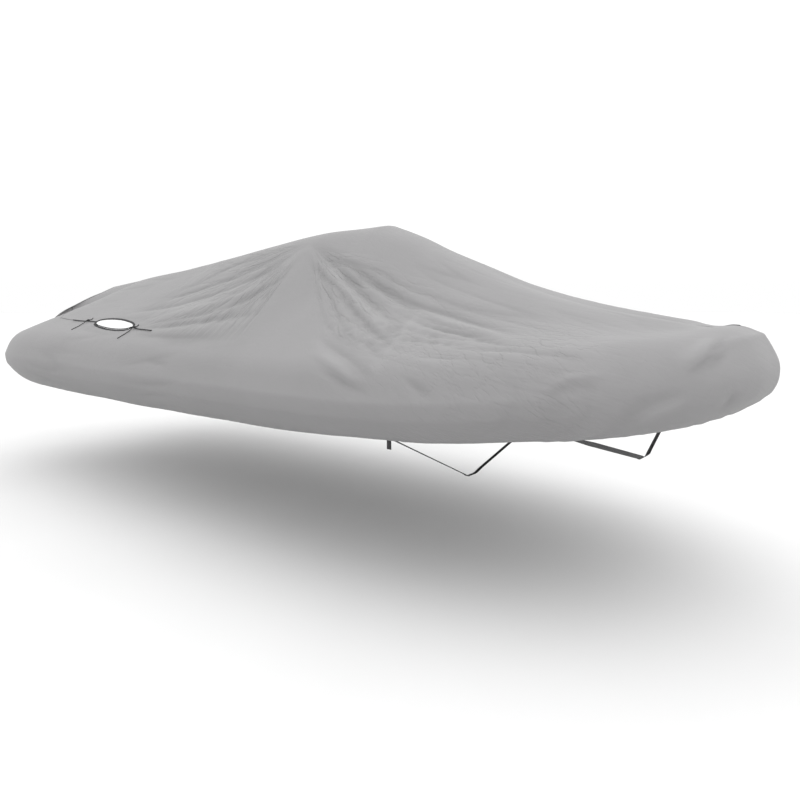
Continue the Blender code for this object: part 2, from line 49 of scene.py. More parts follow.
# Edge of the cover from the stern centre round the starboard side to the bow.
EDGE_COLUMNS = ("x", "y", "z", "radius", "hem_angle", "drop", "spine_x", "slit", "steps")
EDGE = (
    (-3.80, 0.00, -0.485, 0.050, 0, 0.20, -3.70, 0.82, 2),
    (-3.81, -0.35, -0.555, 0.070, 0, 0.22, -3.695, 0.82, 2),
    (-3.86, -0.61, -0.760, 0.140, 20, 0.22, -3.69, 0.82, 2),
    (-4.00, -0.70, -1.000, 0.215, 60, 0.06, -3.15, 0.82, 1),
    (-4.14, -0.80, -1.075, 0.225, 72, 0.00, -3.12, 0.82, 2),
    (-4.22, -0.98, -1.095, 0.230, 74, 0.00, -3.10, 0.82, 2),
    (-4.14, -1.12, -1.100, 0.240, 76, 0.00, -3.085, 0.82, 1),
    (-3.96, -1.197, -1.102, 0.260, 80, 0.00, -3.07, 0.82, 2),
    (-3.65, -1.250, -1.105, 0.290, 86, 0.00, -3.05, 0.82, 2),
    (-3.25, -1.260, -1.108, 0.300, 88, 0.00, -2.90, 0.845, 3),
    (-2.76, -1.260, -1.108, 0.305, 90, 0.00, -2.66, 0.864, 2),
    (-2.60, -1.260, -1.110, 0.305, 90, 0.00, -2.56, 0.864, 7),
    (-1.90, -1.260, -1.110, 0.300, 90, 0.00, -1.90, 0.897, 2),
    (-1.745, -1.260, -1.110, 0.300, 90, 0.00, -1.745, 0.911, 4),
    (-1.00, -1.260, -1.110, 0.290, 84, 0.00, -1.00, 0.920, 9),
    (0.00, -1.260, -1.108, 0.275, 68, 0.00, 0.00, 0.900, 7),
    (0.70, -1.245, -1.098, 0.262, 56, 0.00, 0.65, 0.870, 5),
    (1.20, -1.190, -1.070, 0.255, 60, 0.00, 1.05, 0.862, 3),
    (1.60, -1.090, -1.030, 0.245, 62, 0.00, 1.32, 0.862, 2),
    (1.90, -0.960, -1.003, 0.240, 66, 0.00, 1.50, 0.862, 2),
    (2.16, -0.780, -0.972, 0.235, 73, 0.00, 1.65, 0.862, 2),
    (2.37, -0.550, -0.945, 0.225, 76, 0.00, 1.78, 0.862, 1),
    (2.50, -0.280, -0.914, 0.220, 76, 0.00, 1.88, 0.862, 2),
    (2.55, 0.000, -0.900, 0.215, 76, 0.00, 1.96, 0.862, 0),
)
RIDGE_COLUMNS = ("x", "ridge", "shoulder_y", "shoulder", "sag")
RIDGE = (
    (-3.80, -0.432, 0.25, -0.445, 0.000),
    (-3.06, -0.350, 0.28, -0.375, 0.010),
    (-2.20, -0.257, 0.30, -0.293, 0.015),
    (-1.54, -0.172, 0.33, -0.232, 0.020),
    (-0.96, -0.098, 0.38, -0.180, 0.020),
    (-0.46, -0.042, 0.40, -0.140, 0.015),
    (-0.09, -0.005, 0.31, -0.131, 0.020),
    (0.00, 0.000, 0.30, -0.132, 0.020),
    (0.06, -0.018, 0.295, -0.145, 0.022),
    (0.25, -0.092, 0.28, -0.190, 0.030),
    (0.47, -0.194, 0.27, -0.275, 0.035),
    (0.70, -0.289, 0.27, -0.355, 0.035),
    (1.08, -0.450, 0.28, -0.490, 0.030),
    (1.41, -0.555, 0.30, -0.580, 0.020),
    (1.96, -0.685, 0.30, -0.695, 0.010),
)
SLIT_HALF_GAP = 0.006
LEG_OPENING_AFT = -2.60
LEG_OPENING_FORE = -1.90
LEG_OPENING_HALF_WIDTH = 0.055
OPENING_SLACK = 0.004

# The hem's turned-in edge, row by row: out of the cloth, down along it, length past the hem.
HEM_EDGE_COLUMNS = ("out", "down", "past")
HEM_EDGE = (
    (-0.0018, 0.0012, 0.0005),
    (-0.0032, -0.0030, 0.0040),
    (-0.0036, -0.0250, 0.0250),
)

# Cells of fine cloth: columns for each step of the edge table, and rows over each section
# inboard of the slit, outboard of it and round the tube.
COLUMNS_PER_STEP = 5
TENT_ROWS_INNER = 74
TENT_ROWS_OUTER = 8
WRAP_ROWS = 46
HEM_ROWS = len(HEM_EDGE)
SLIT_ROW = TENT_ROWS_INNER


def column(rows, names, name):
    return np.array([row[names.index(name)] for row in rows], float)


def cubic(t, step, start, end, start_slope, end_slope):
    """Place t of the way along the cubic that joins two values a step apart."""
    return (
        (2 * t**3 - 3 * t**2 + 1) * start
        + (t**3 - 2 * t**2 + t) * step * start_slope
        + (3 * t**2 - 2 * t**3) * end
        + (t**3 - t**2) * step * end_slope
    )


def smooth_curve(knots, values, at):
    """Cubic through the knots with slopes held to the neighbours' mean."""
    step = np.diff(knots)
    rise = np.diff(values) / step
    slope = np.concatenate(([rise[0]], (rise[:-1] + rise[1:]) / 2.0, [rise[-1]]))
    flat = rise[:-1] * rise[1:] <= 0.0
    slope[1:-1][flat] = 0.0
    i = np.clip(np.searchsorted(knots, at) - 1, 0, len(step) - 1)
    t = (at - knots[i]) / step[i]
    return cubic(t, step[i], values[i], values[i + 1], slope[i], slope[i + 1])


def edge_sections(finer):
    steps = column(EDGE, EDGE_COLUMNS, "steps").astype(int) * finer
    at = np.concatenate([i + np.arange(n) / n for i, n in enumerate(steps) if n])
    at = np.append(at, len(EDGE) - 1.0)
    knots = np.arange(len(EDGE), dtype=float)
    names = EDGE_COLUMNS[:-1]
    sections = {n: smooth_curve(knots, column(EDGE, EDGE_COLUMNS, n), at) for n in names}
    sections["spine_x"] = np.interp(at, knots, column(EDGE, EDGE_COLUMNS, "spine_x"))
    return sections


def edge_normals(edge):
    path = np.stack([edge["x"], edge["y"]], 1)
    before = np.vstack([[path[1, 0], -path[1, 1]], path[:-1]])
    after = np.vstack([path[1:], [path[-2, 0], -path[-2, 1]]])
    along = after - before
    out = np.stack([along[:, 1], -along[:, 0]], 1)
    out = out / np.linalg.norm(out, axis=1)[:, None]
    out[0] = (-1.0, 0.0)
    out[-1] = (1.0, 0.0)
    return out


def ridge_at(x, name):
    return smooth_curve(
        column(RIDGE, RIDGE_COLUMNS, "x"), column(RIDGE, RIDGE_COLUMNS, name), x
    )


def slit_gaps(x):
    middle = (LEG_OPENING_AFT + LEG_OPENING_FORE) / 2.0
    half = (LEG_OPENING_FORE - LEG_OPENING_AFT) / 2.0
    inside = np.maximum(1.0 - ((x - middle) / half) ** 2, 0.0)
    return SLIT_HALF_GAP + (LEG_OPENING_HALF_WIDTH - SLIT_HALF_GAP) * np.sqrt(inside)


def tent_shares(slit, gap):
    """Each row's share of the way from spine to tube, parted by the gap at the slit."""
    for share in np.linspace(0.0, 1.0, TENT_ROWS_INNER + 1):
        yield share * (slit - gap)
    for share in np.linspace(0.0, 1.0, TENT_ROWS_OUTER + 1):
        yield slit + gap + share * (1.0 - slit - gap)


def wrap_rows(edge, bend):
    """Angle round the tube, and length that hangs free below it, for each row of the wrap."""
    arc = edge["radius"] * (bend + np.radians(edge["hem_angle"]))
    length = arc + edge["drop"]
    for share in np.linspace(0.0, 1.0, WRAP_ROWS + 1)[1:]:
        run = share * length
        yield bend - np.minimum(run, arc) / edge["radius"], np.maximum(run - arc, 0.0)


def base_grid():
    """Sections by rows of points for the starboard half, before its folds."""
    edge = edge_sections(COLUMNS_PER_STEP)
    out = edge_normals(edge)
    n = len(edge["x"])
    spine_x = edge["spine_x"]
    top, shoulder_y, shoulder, sag = (
        ridge_at(spine_x, name) for name in ("ridge", "shoulder_y", "shoulder", "sag")
    )
    radius = edge["radius"]
    core = np.stack([edge["x"], edge["y"]], 1) - radius[:, None] * out
    spine = np.stack([spine_x, np.zeros(n)], 1)
    bend = np.full(n, math.radians(70.0))
    for _ in range(12):
        leave = core + (radius * np.cos(bend))[:, None] * out
        leave_z = edge["z"] + radius * np.sin(bend)
        reach = np.linalg.norm(leave - spine, axis=1)
        shoulder_f = np.minimum(shoulder_y / np.maximum(reach, 0.01), 0.55)
        run = (1.0 - shoulder_f) * reach
        slope = np.maximum(shoulder - leave_z, 0.0) / np.maximum(run, 0.01)
        bend = 0.5 * bend + 0.5 * (math.pi / 2.0 - np.arctan(slope))
    points = []
    for f in tent_shares(edge["slit"], slit_gaps(edge["x"]) / reach):
        flat = spine + (leave - spine) * f[:, None]
        z = np.where(
            f < shoulder_f,
            cubic(f / shoulder_f, 1.0, top, shoulder, 0.0, -shoulder_f * slope * reach),
            shoulder + (leave_z - shoulder) * (f - shoulder_f) / (1.0 - shoulder_f),
        )
        g = np.clip((f - shoulder_f) / (1.0 - shoulder_f), 0.0, 1.0)
        z = z - sag * (4.0 * g * (1.0 - g)) ** 2
        points.append(np.column_stack([flat, z]))
    for angle, hang in wrap_rows(edge, bend):
        level = radius * np.cos(angle) + hang * np.sin(angle)
        rise = radius * np.sin(angle) - hang * np.cos(angle)
        points.append(np.column_stack([core + level[:, None] * out, edge["z"] + rise]))
    return np.stack(points, 1)


# ---------------------------------------------------------------- folds and wrinkles
# Folds of the starboard half as lines over the cloth, each point as x, y, z on the plain cover.
# width: half the fold's breadth; height: out of the cloth, into it where negative;
# lee: share of the opposite height beside it; port: share of it on the other half.
FOLD_COLUMNS = ("width", "height", "lee", "port", "line")
FOLDS = (
    # from the peak's near corner down and forward
    (0.030, -0.0120, 0.7, 0.8, ((-0.42, -0.41, -0.16), (-0.30, -0.45, -0.21), (-0.03, -0.53, -0.34),
                                (0.30, -0.65, -0.53), (0.80, -0.84, -0.74))),
    (0.024, -0.0075, 0.5, 0.6, ((-0.34, -0.40, -0.17), (0.06, -0.49, -0.33), (0.34, -0.55, -0.47),
                                (0.73, -0.66, -0.63))),
    (0.034, 0.0110, 0.5, 0.9, ((-0.30, -0.50, -0.26), (-0.02, -0.60, -0.41), (0.22, -0.69, -0.54),
                               (0.44, -0.78, -0.65), (0.81, -0.94, -0.78))),
    (0.028, -0.0120, 0.6, 0.8, ((-0.24, -0.55, -0.32), (0.13, -0.67, -0.50), (0.39, -0.79, -0.65),
                                (0.64, -0.90, -0.75), (0.83, -1.00, -0.81))),
    (0.026, -0.0085, 0.5, 0.5, ((0.10, -0.50, -0.35), (0.25, -0.55, -0.43), (0.59, -0.59, -0.56),
                                (0.76, -0.63, -0.62))),
    (0.040, 0.0060, 0.2, 0.8, ((0.76, -0.61, -0.60), (0.80, -0.86, -0.75), (0.85, -1.05, -0.84),
                               (0.87, -1.19, -0.97))),
    # on towards the bow
    (0.026, -0.0105, 0.7, 0.9, ((0.70, -0.60, -0.58), (0.92, -0.62, -0.64), (1.15, -0.65, -0.69),
                                (1.47, -0.72, -0.74))),
    (0.028, 0.0080, 0.5, 0.7, ((0.74, -0.66, -0.64), (0.98, -0.70, -0.69), (1.27, -0.74, -0.74),
                               (1.53, -0.84, -0.78))),
    (0.022, -0.0075, 0.6, 0.8, ((0.80, -0.76, -0.69), (1.17, -0.79, -0.75), (1.47, -0.88, -0.79))),
    (0.022, -0.0060, 0.5, 0.6, ((0.84, -0.93, -0.78), (1.13, -0.92, -0.79), (1.35, -0.98, -0.82),
                                (1.58, -0.94, -0.82))),
    (0.022, -0.0060, 0.5, 0.7, ((1.05, -1.07, -0.86), (1.37, -1.04, -0.86))),
    (0.022, -0.0065, 0.6, 0.8, ((1.30, -0.95, -0.81), (1.63, -0.93, -0.82), (1.90, -0.88, -0.84))),
    (0.022, 0.0070, 0.6, 0.6, ((1.72, -1.03, -0.99), (1.83, -0.96, -0.91), (1.98, -0.88, -0.90))),
    # down the side from the peak
    (0.030, -0.0080, 0.5, 0.8, ((0.25, -1.00, -0.78), (0.45, -1.07, -0.84), (0.65, -1.14, -0.89),
                                (0.83, -1.19, -0.96))),
    (0.026, 0.0070, 0.5, 0.7, ((0.33, -1.12, -0.86), (0.65, -1.20, -0.95), (0.83, -1.21, -1.01))),
    (0.024, -0.0055, 0.4, 0.6, ((0.50, -1.20, -0.96), (0.75, -1.23, -1.02), (0.88, -1.23, -1.05))),
    (0.024, -0.0060, 0.5, 0.7, ((0.60, -0.98, -0.79), (0.89, -1.12, -0.89))),
    (0.022, 0.0045, 0.4, 0.5, ((0.78, -1.15, -0.90), (0.89, -1.19, -0.96))),
    (0.024, -0.0060, 0.5, 0.7, ((1.02, -1.17, -0.94), (1.24, -1.18, -1.04))),
    # aft of the peak towards the arch
    (0.034, -0.0105, 0.6, 0.9, ((-1.80, -1.03, -0.80), (-1.28, -0.98, -0.75), (-0.86, -0.94, -0.70),
                                (-0.42, -0.90, -0.65))),
    (0.028, -0.0080, 0.6, 0.8, ((-1.75, -0.97, -0.74), (-1.05, -0.88, -0.66), (-0.75, -0.81, -0.57),
                                (-0.50, -0.66, -0.42))),
    (0.034, 0.0085, 0.5, 0.7, ((-1.70, -0.90, -0.69), (-1.25, -0.83, -0.62), (-0.80, -0.74, -0.51),
                               (-0.58, -0.66, -0.41), (-0.52, -0.48, -0.23))),
    (0.034, -0.0100, 0.5, 0.9, ((-2.24, -0.82, -0.67), (-1.62, -0.77, -0.60), (-1.07, -0.67, -0.47),
                                (-0.71, -0.57, -0.34), (-0.52, -0.42, -0.17))),
    (0.026, -0.0060, 0.6, 0.7, ((-2.00, -0.70, -0.58), (-1.40, -0.60, -0.45), (-0.90, -0.50, -0.31),
                                (-0.58, -0.40, -0.16))),
    (0.055, -0.0080, 0.3, 0.8, ((-1.75, -1.08, -0.83), (-1.20, -1.10, -0.83), (-0.50, -1.08, -0.81))),
    (0.026, -0.0045, 0.4, 0.5, ((-1.30, -1.24, -1.00), (-1.00, -1.24, -1.03))),
    # bow
    (0.024, -0.0110, 0.8, 0.8, ((2.36, -0.36, -0.74), (2.33, -0.54, -0.83), (2.27, -0.66, -0.90))),
    (0.020, -0.0080, 0.6, 0.7, ((2.38, -0.40, -0.79), (2.35, -0.56, -0.87))),
    (0.022, -0.0095, 0.7, 0.6, ((2.36, -0.46, -0.95), (2.40, -0.44, -1.02), (2.37, -0.46, -1.07))),
    (0.028, 0.0080, 0.6, 0.7, ((2.27, -0.66, -1.00), (2.13, -0.76, -1.07), (2.06, -0.78, -1.12))),
)
FOLD_CREST = 1.15
FOLD_GAIN = 1.35
# Crease height that gets the full painted shade or painted highlight in the cloth's colour.
RELIEF_DEPTH = 0.009
PORT_SHIFT = 0.05
PORT_SHIFT_SPREAD = 900.0

# Tension from the peak's corner spreads the small creases like a fan.
FAN_CENTRE = (-0.47, 0.40)
FAN_FORE = (math.radians(2), math.radians(37))
FAN_AFT = (math.radians(86), math.radians(190))
PLAIN_FACE = (math.radians(44), math.radians(68))
FAN_REACH = 1.9


def along_line(points, spacing):
    """Points every few centimetres along a line, with their share of its length."""
    points = np.array(points, float)
    step = np.linalg.norm(np.diff(points, axis=0), axis=1)
    at = np.concatenate(([0.0], np.cumsum(step)))
    count = max(int(at[-1] / spacing), 4)
    want = np.linspace(0.0, at[-1], count)
    line = np.stack([np.interp(want, at, points[:, i]) for i in range(3)], 1)
    return line, want / at[-1]


def grid_normals(grid):
    along = np.gradient(grid, axis=0)
    across = np.gradient(grid, axis=1)
    normal = np.cross(across, along)
    normal /= np.linalg.norm(normal, axis=2)[:, :, None] + 1e-12
    return normal * np.sign(normal[len(grid) // 2, 1, 2])


def smoothed(line):
    for _ in range(3):
        line = np.vstack([line[:1], (line[:-2] + 2 * line[1:-1] + line[2:]) / 4.0, line[-1:]])
    return line


def fold_lines(flat):
    """Every fold's line, laid on the starboard half's plain points."""
    lines = []
    for row in FOLDS:
        line, share = along_line(row[-1], 0.02)
        reach = 0.12
        near = flat[((flat > line.min(0) - reach) & (flat < line.max(0) + reach)).all(1)]
        nearest = ((near[None] - line[:, None]) ** 2).sum(2).argmin(1)
        lines.append((smoothed(near[nearest]), share))
    return lines


def fold_heights(flat, normals, side, lines):
    """Height of every fold over the points of one half, given as its starboard twin."""
    total = np.zeros(len(flat))
    flip = np.array([1.0, -1.0, 1.0])
    for row, (line, share) in zip(FOLDS, lines):
        fold = dict(zip(FOLD_COLUMNS, row))
        moved = line + np.array([PORT_SHIFT * math.sin(PORT_SHIFT_SPREAD * fold["width"]), 0.0, 0.0])
        star, port = (line, 1.0), (moved, fold["port"])
        own, other = (star, port) if side == -1 else (port, star)
        for (path, scale), turn in ((own, 1.0), (other, flip)):
            add_fold(total, flat, normals, fold, path * turn, share, scale)
    return total


def add_fold(total, flat, normals, fold, line, share, scale):
    reach = fold["width"] * 3.6
    low, high = line.min(0) - reach, line.max(0) + reach
    near = np.where(((flat > low) & (flat < high)).all(1))[0]
    if not len(near):
        return
    away = flat[near][:, None] - line[None]
    nearest = (away**2).sum(2).argmin(1)
    off = away[np.arange(len(near)), nearest]
    along = np.gradient(line, axis=0)
    along /= np.linalg.norm(along, axis=1)[:, None] + 1e-9
    sideways = np.cross(along[nearest], normals[near])
    signed = (off * sideways).sum(1)
    beyond = (off * along[nearest]).sum(1)
    aside = np.sqrt(signed**2 + np.maximum(np.abs(beyond) - 0.012, 0.0) ** 2)
    t = share[nearest]
    taper = np.sin(np.pi * np.clip(0.03 + 0.94 * t, 0.0, 1.0)) ** 0.8
    w = fold["width"] * (0.75 + 0.5 * t)
    shape = np.exp(-((aside / w) ** FOLD_CREST))
    lee = np.exp(-(((signed - 1.8 * w) / (1.4 * w)) ** 2) - (beyond / w) ** 2 * 0.5)
    total[near] += FOLD_GAIN * scale * fold["height"] * taper * (shape - fold["lee"] * lee)


def section_lengths(grid):
    """Distance over the cloth from the centre line, for every point of the grid."""
    step = np.linalg.norm(np.diff(grid, axis=1), axis=2)
    return np.concatenate([np.zeros((len(grid), 1)), np.cumsum(step, axis=1)], axis=1)


def smoothstep(low, high, value):
    t = np.clip((value - low) / (high - low), 0.0, 1.0)
    return t * t * (3.0 - 2.0 * t)


def band(low, high, soft, value):
    return smoothstep(low - soft, low + soft, value) * (1.0 - smoothstep(high - soft, high + soft, value))


def noise_at(points, scale, seed):
    """Smooth noise, about -1 to 1, at points stretched by scale."""
    shift = Vector((seed * 7.31, seed * 3.17, seed * 5.77))
    stretched = points * np.array(scale)
    return np.array([noise.noise(Vector(p) + shift) for p in stretched])


def creased(value, sharp):
    """Narrow valleys where the noise crosses zero, on its own gentle waves."""
    return 0.55 * value - np.exp(-((value / sharp) ** 2))


def fan_place(x, y):
    """Way out from the peak's corner, and distance from it, for points seen from above."""
    dx, dy = x - FAN_CENTRE[0], np.abs(y) - FAN_CENTRE[1]
    turn = np.arctan2(dy, dx)
    turn = np.where(turn < -math.pi / 2.0, turn + 2.0 * math.pi, turn)
    return turn, np.hypot(dx, dy)


def fan_share(x, y):
    turn, reach = fan_place(x, y)
    spread = np.maximum(band(*FAN_FORE, 0.09, turn), band(*FAN_AFT, 0.10, turn))
    spread = spread * (1.0 - smoothstep(0.96, 1.12, np.abs(y)))
    return spread * smoothstep(0.05, 0.35, reach) * (1.0 - smoothstep(1.0, FAN_REACH, reach))


def slack_share(x, y):
    """Loosest over the forward deck's edge, where the small creases gather."""
    loose = band(0.55, 1.85, 0.30, x) * band(0.55, 1.12, 0.12, np.abs(y))
    return (0.22 + 0.78 * loose) * (1.0 - plain_patch(x, y))


# Where the hem is drawn in: x, reach along the hem, height of the gathers.
GATHER_COLUMNS = ("x", "reach", "height")
GATHERS = (
    (2.60, 0.60, 0.0060),
    (1.83, 0.14, 0.0040),
    (0.92, 0.14, 0.0035),
    (-3.30, 0.18, 0.0030),
    (-4.15, 0.30, 0.0050),
)
HEM_GATHER_PLAIN = 0.0010
GATHER_SLANT = 0.6
GATHER_RISE = 0.085
PLEAT_PITCH = 0.105
SMALL_PLEAT_PITCH = 0.047
TUBE_RADIUS = 0.26
RUB_STRAKE_HEIGHT = 0.0190
RUB_STRAKE_LOW = math.radians(-20.0)
RUB_STRAKE_HIGH = math.radians(0.0)
BOW_BREAK = math.radians(50.0)
BOW_BREAK_HEIGHT = 0.0105
BOW_HOLLOW = math.radians(24.0)
BOW_HOLLOW_DEPTH = 0.0070
SLIT_AFT = -3.47
SLIT_FORE = -1.53
FLAP_EDGE_LINE = ((SLIT_AFT, 0.905), (-3.83, 0.620))
SLIT_LIFT = 0.0030
SLIT_LIFT_BREADTH = 0.018
OFF_TUBE = 9.0


# Heights of the unevenness and of the small creases, each from its own noise.
SLACK_HEIGHT = 0.0055
FAN_HEIGHT = 0.0068
DECK_HEIGHT = 0.0055
AFT_HEIGHT = 0.0050
TUBE_HEIGHT = 0.0022
CRUMPLE_SIZE = 0.085
CRUMPLE_HEIGHT = 0.0046


def wrinkle_heights(grid, lengths, side):
    """Soft unevenness of the whole cloth: slack, small creases and crumpled patches."""
    x, y = grid[:, :, 0].ravel(), grid[:, :, 1].ravel() * -side
    placed = np.column_stack([x, y, grid[:, :, 2].ravel()])
    over = lengths.ravel()
    none = np.zeros(x.size)
    slack = noise_at(placed, (1.6, 1.9, 1.9), 1) * SLACK_HEIGHT
    patch = np.clip(noise_at(placed, (1.2, 1.5, 1.5), 2) * 1.7 + 0.45, 0.0, 1.0)
    turn, reach = fan_place(x, y)
    fan = noise_at(np.column_stack([turn, reach, none + side]), (7.0, 0.9, 3.0), 3)
    fan = creased(fan, 0.15) * FAN_HEIGHT * fan_share(x, y)
    lane = np.abs(y) - 0.16 * x + 0.10 * noise_at(placed, (0.9, 0.9, 0.9), 7)
    deck = noise_at(np.column_stack([x, lane, none + side]), (0.9, 8.5, 3.0), 4)
    fore = band(0.55, 2.05, 0.25, x) * band(0.20, 1.16, 0.10, np.abs(y))
    deck = creased(deck, 0.14) * DECK_HEIGHT * fore * (0.4 + 0.6 * patch)
    aft = noise_at(np.column_stack([x, over * side, none]), (1.0, 7.5, 1.0), 5)
    aft = creased(aft, 0.16) * AFT_HEIGHT * band(-3.6, -0.9, 0.3, x) * patch
    tube = noise_at(np.column_stack([x, over * side, none]), (1.6, 6.5, 1.0), 6) * TUBE_HEIGHT
    cells = crumples(placed, CRUMPLE_SIZE, CRUMPLE_HEIGHT)
    near_tube = band(0.85, 1.20, 0.10, over) * band(0.25, 2.2, 0.3, x)
    cells = cells * (0.15 + 0.85 * near_tube * patch) * (0.3 + 0.7 * patch)
    plain = plain_patch(x, y)
    creases = (fan + deck + aft + tube + cells) * (1.0 - plain)
    return slack.reshape(lengths.shape), creases.reshape(lengths.shape)


def plain_patch(x, y):
    """The stretched face below the peak's corner stays smooth."""
    turn, reach = fan_place(x, y)
    return band(*PLAIN_FACE, 0.10, turn) * smoothstep(0.02, 0.1, reach)


def crumples(placed, size, height):
    """Ridges between uneven flat facets, as stiff coated cloth makes them."""
    bent = placed + 0.35 * size * np.column_stack(
        [noise_at(placed, (7.0, 7.0, 7.0), 20 + i) for i in range(3)]
    )
    gap = np.array([voronoi_gap(p) for p in bent / size])
    return height * (1.0 - smoothstep(0.0, 0.45, gap))


def voronoi_gap(point):
    distances = noise.voronoi(Vector(point))[0]
    return distances[1] - distances[0]


def gather_heights(grid, hem, side):
    """Small slanting pleats where the hem's cord draws the cloth in."""
    edge_step = np.linalg.norm(np.diff(grid[:, -1], axis=0), axis=1)
    around = np.concatenate(([0.0], np.cumsum(edge_step)))
    around = around - around[-1]
    gather = np.full(len(grid), HEM_GATHER_PLAIN)
    for row in GATHERS:
        place = dict(zip(GATHER_COLUMNS, row))
        away = (grid[:, -1, 0] - place["x"]) / place["reach"]
        gather += place["height"] * np.exp(-(away**2))
    none = np.zeros((len(grid), 2))
    beat = noise_at(np.column_stack([around * side, none]), (5.0, 1.0, 1.0), 6)
    uneven = noise_at(np.column_stack([around * side, none]), (9.0, 1.0, 1.0), 9)
    run = around[:, None] * side + GATHER_SLANT * np.maximum(hem, 0.0)
    pleat = np.sin(run * 2 * math.pi / PLEAT_PITCH + beat[:, None] * 5.0)
    pleat = pleat + 0.45 * np.sin(run * 2 * math.pi / SMALL_PLEAT_PITCH + beat[:, None] * 9.0)
    rise = GATHER_RISE * (1.0 + 0.6 * uneven)[:, None]
    fade = np.exp(-hem / rise) * (0.30 + 0.70 * smoothstep(0.0, 0.045, hem))
    return (gather * (0.8 + 0.6 * uneven))[:, None] * pleat * fade, around


def corner_heights(away, height):
    """Cloth drawn straight to a corner that stands off the round tube, by angle from it."""
    lean = math.acos(TUBE_RADIUS / (TUBE_RADIUS + height))
    return TUBE_RADIUS * (1.0 / np.cos(np.maximum(lean - away, 0.0)) - 1.0)


def strake_heights(angle, x):
    """The rubbing band on the tube props the cloth out along two edges."""
    away = np.maximum(np.maximum(angle - RUB_STRAKE_HIGH, RUB_STRAKE_LOW - angle), 0.0)
    fade = (0.75 + 0.25 * smoothstep(-3.5, -1.4, x)) * (1.0 - smoothstep(1.5, 2.2, x))
    return corner_heights(away, RUB_STRAKE_HEIGHT) * fade


def bow_heights(angle, x):
    """Round the bow the deck's cloth breaks over a corner to a flatter front."""
    corner = corner_heights(np.abs(angle - BOW_BREAK), BOW_BREAK_HEIGHT)
    hollow = np.exp(-(((angle - BOW_HOLLOW) / math.radians(17.0)) ** 2))
    return (corner - BOW_HOLLOW_DEPTH * hollow) * smoothstep(2.24, 2.40, x)


def wrap_angles(shape, edge, bend):
    """Angle round the tube at each point of the grid, with the tent's rows off the tube."""
    angle = np.full(shape, OFF_TUBE)
    for k, (turn, _) in enumerate(wrap_rows(edge, bend)):
        angle[:, k - WRAP_ROWS] = turn
    return angle


def slit_lift(x, from_slit):
    """The inboard cloth stands a little proud of the other along the slit."""
    active = smoothstep(SLIT_AFT - 0.03, SLIT_AFT + 0.03, x)
    active = active * (1.0 - smoothstep(SLIT_FORE - 0.05, SLIT_FORE + 0.02, x))
    inboard = np.exp(np.minimum(from_slit, 0.0) / SLIT_LIFT_BREADTH) * (from_slit <= 1e-6)
    return SLIT_LIFT * active * inboard


def turned_hem(grid, normals):
    """Rows of points that turn the hem's edge under."""
    down = grid[:, -1] - grid[:, -2]
    down /= np.linalg.norm(down, axis=1)[:, None]
    rows = [grid[:, -1] + normals[:, -1] * out + down * along for out, along, _ in HEM_EDGE]
    return np.stack(rows, 1)


def half_cloth(base, angle, side, lines):
    """Finished points of one half, its height over the hem and its place along it."""
    grid = base.copy()
    normals = grid_normals(grid)
    normals[:, 0, 1] = 0.0
    normals[[0, -1], :, 1] = 0.0
    normals /= np.linalg.norm(normals, axis=2)[:, :, None] + 1e-12
    lengths = section_lengths(grid)
    hem = lengths[:, -1:] - lengths
    x = grid[:, :, 0]
    slack, creases = wrinkle_heights(grid, lengths, side)
    flat = grid.reshape(-1, 3)
    creases += fold_heights(flat, normals.reshape(-1, 3), side, lines).reshape(creases.shape)
    height = slack + creases
    gathers, around = gather_heights(grid, hem, side)
    height += gathers + strake_heights(angle, x) + bow_heights(angle, x)
    from_slit = lengths - lengths[:, SLIT_ROW : SLIT_ROW + 1]
    height += slit_lift(x, from_slit)
    crown = np.exp(-(x**2 + grid[:, :, 1] ** 2) / 0.05)
    height *= 1.0 - crown
    grid = grid + height[:, :, None] * normals
    grid[:, 0, 1] = 0.0
    grid[[0, -1], :, 1] = 0.0
    grid[:, :, 2] += CLOTH_THICKNESS
    grid = np.concatenate([grid, turned_hem(grid, normals)], axis=1)
    grid[[0, -1], :, 1] = 0.0
    extra = column(HEM_EDGE, HEM_EDGE_COLUMNS, "past")
    hem = np.concatenate([hem, -np.tile(extra, (len(grid), 1))], axis=1)
    lengths = np.concatenate([lengths, lengths[:, -1:] + extra[None]], axis=1)
    from_slit = np.concatenate([from_slit, np.ones((len(grid), HEM_ROWS))], axis=1)
    relief = np.concatenate([creases / RELIEF_DEPTH, np.zeros((len(grid), HEM_ROWS))], axis=1)
    if side == 1:
        grid[:, :, 1] *= -1.0
    return {
        "grid": grid,
        "hem": hem,
        "around": around,
        "lengths": lengths,
        "slit": from_slit,
        "relief": relief,
    }


def put(obj, material, smooth=True):
    """Into the scene, with its material, riding on the one body."""
    bpy.context.scene.collection.objects.link(obj)
    obj.data.materials.append(material)
    if smooth and obj.type == "MESH":
        obj.data.polygons.foreach_set("use_smooth", np.ones(len(obj.data.polygons), bool))
    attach(obj, "root")
    return obj


def cloth_maps(half, side):
    """Lengths over the cloth that its material reads: weave, hem, slit (for its painted shade) and creases
    (for painted shade in the valleys and painted highlight on the crests).
    """
    grid = half["grid"]
    rows = grid.shape[1]
    x, y = grid[:, :, 0], grid[:, :, 1]
    turn, reach = fan_place(x, y)
    return {
        "weave": (grid[:, :, 0], half["lengths"] * side),
        "edge": (np.repeat(half["around"][:, None], rows, 1), half["hem"]),
        "slit": (grid[:, :, 0], half["slit"]),
        "grain": (turn, reach),
        "share": (fan_share(x, y), slack_share(x, y)),
        "relief": (half["relief"], half["relief"]),
    }


def cell_corners(values, side):
    """Each cell's four corners, in the order that turns its face outward."""
    corners = [values[:-1, :-1], values[1:, :-1], values[1:, 1:], values[:-1, 1:]]
    return corners[::side]


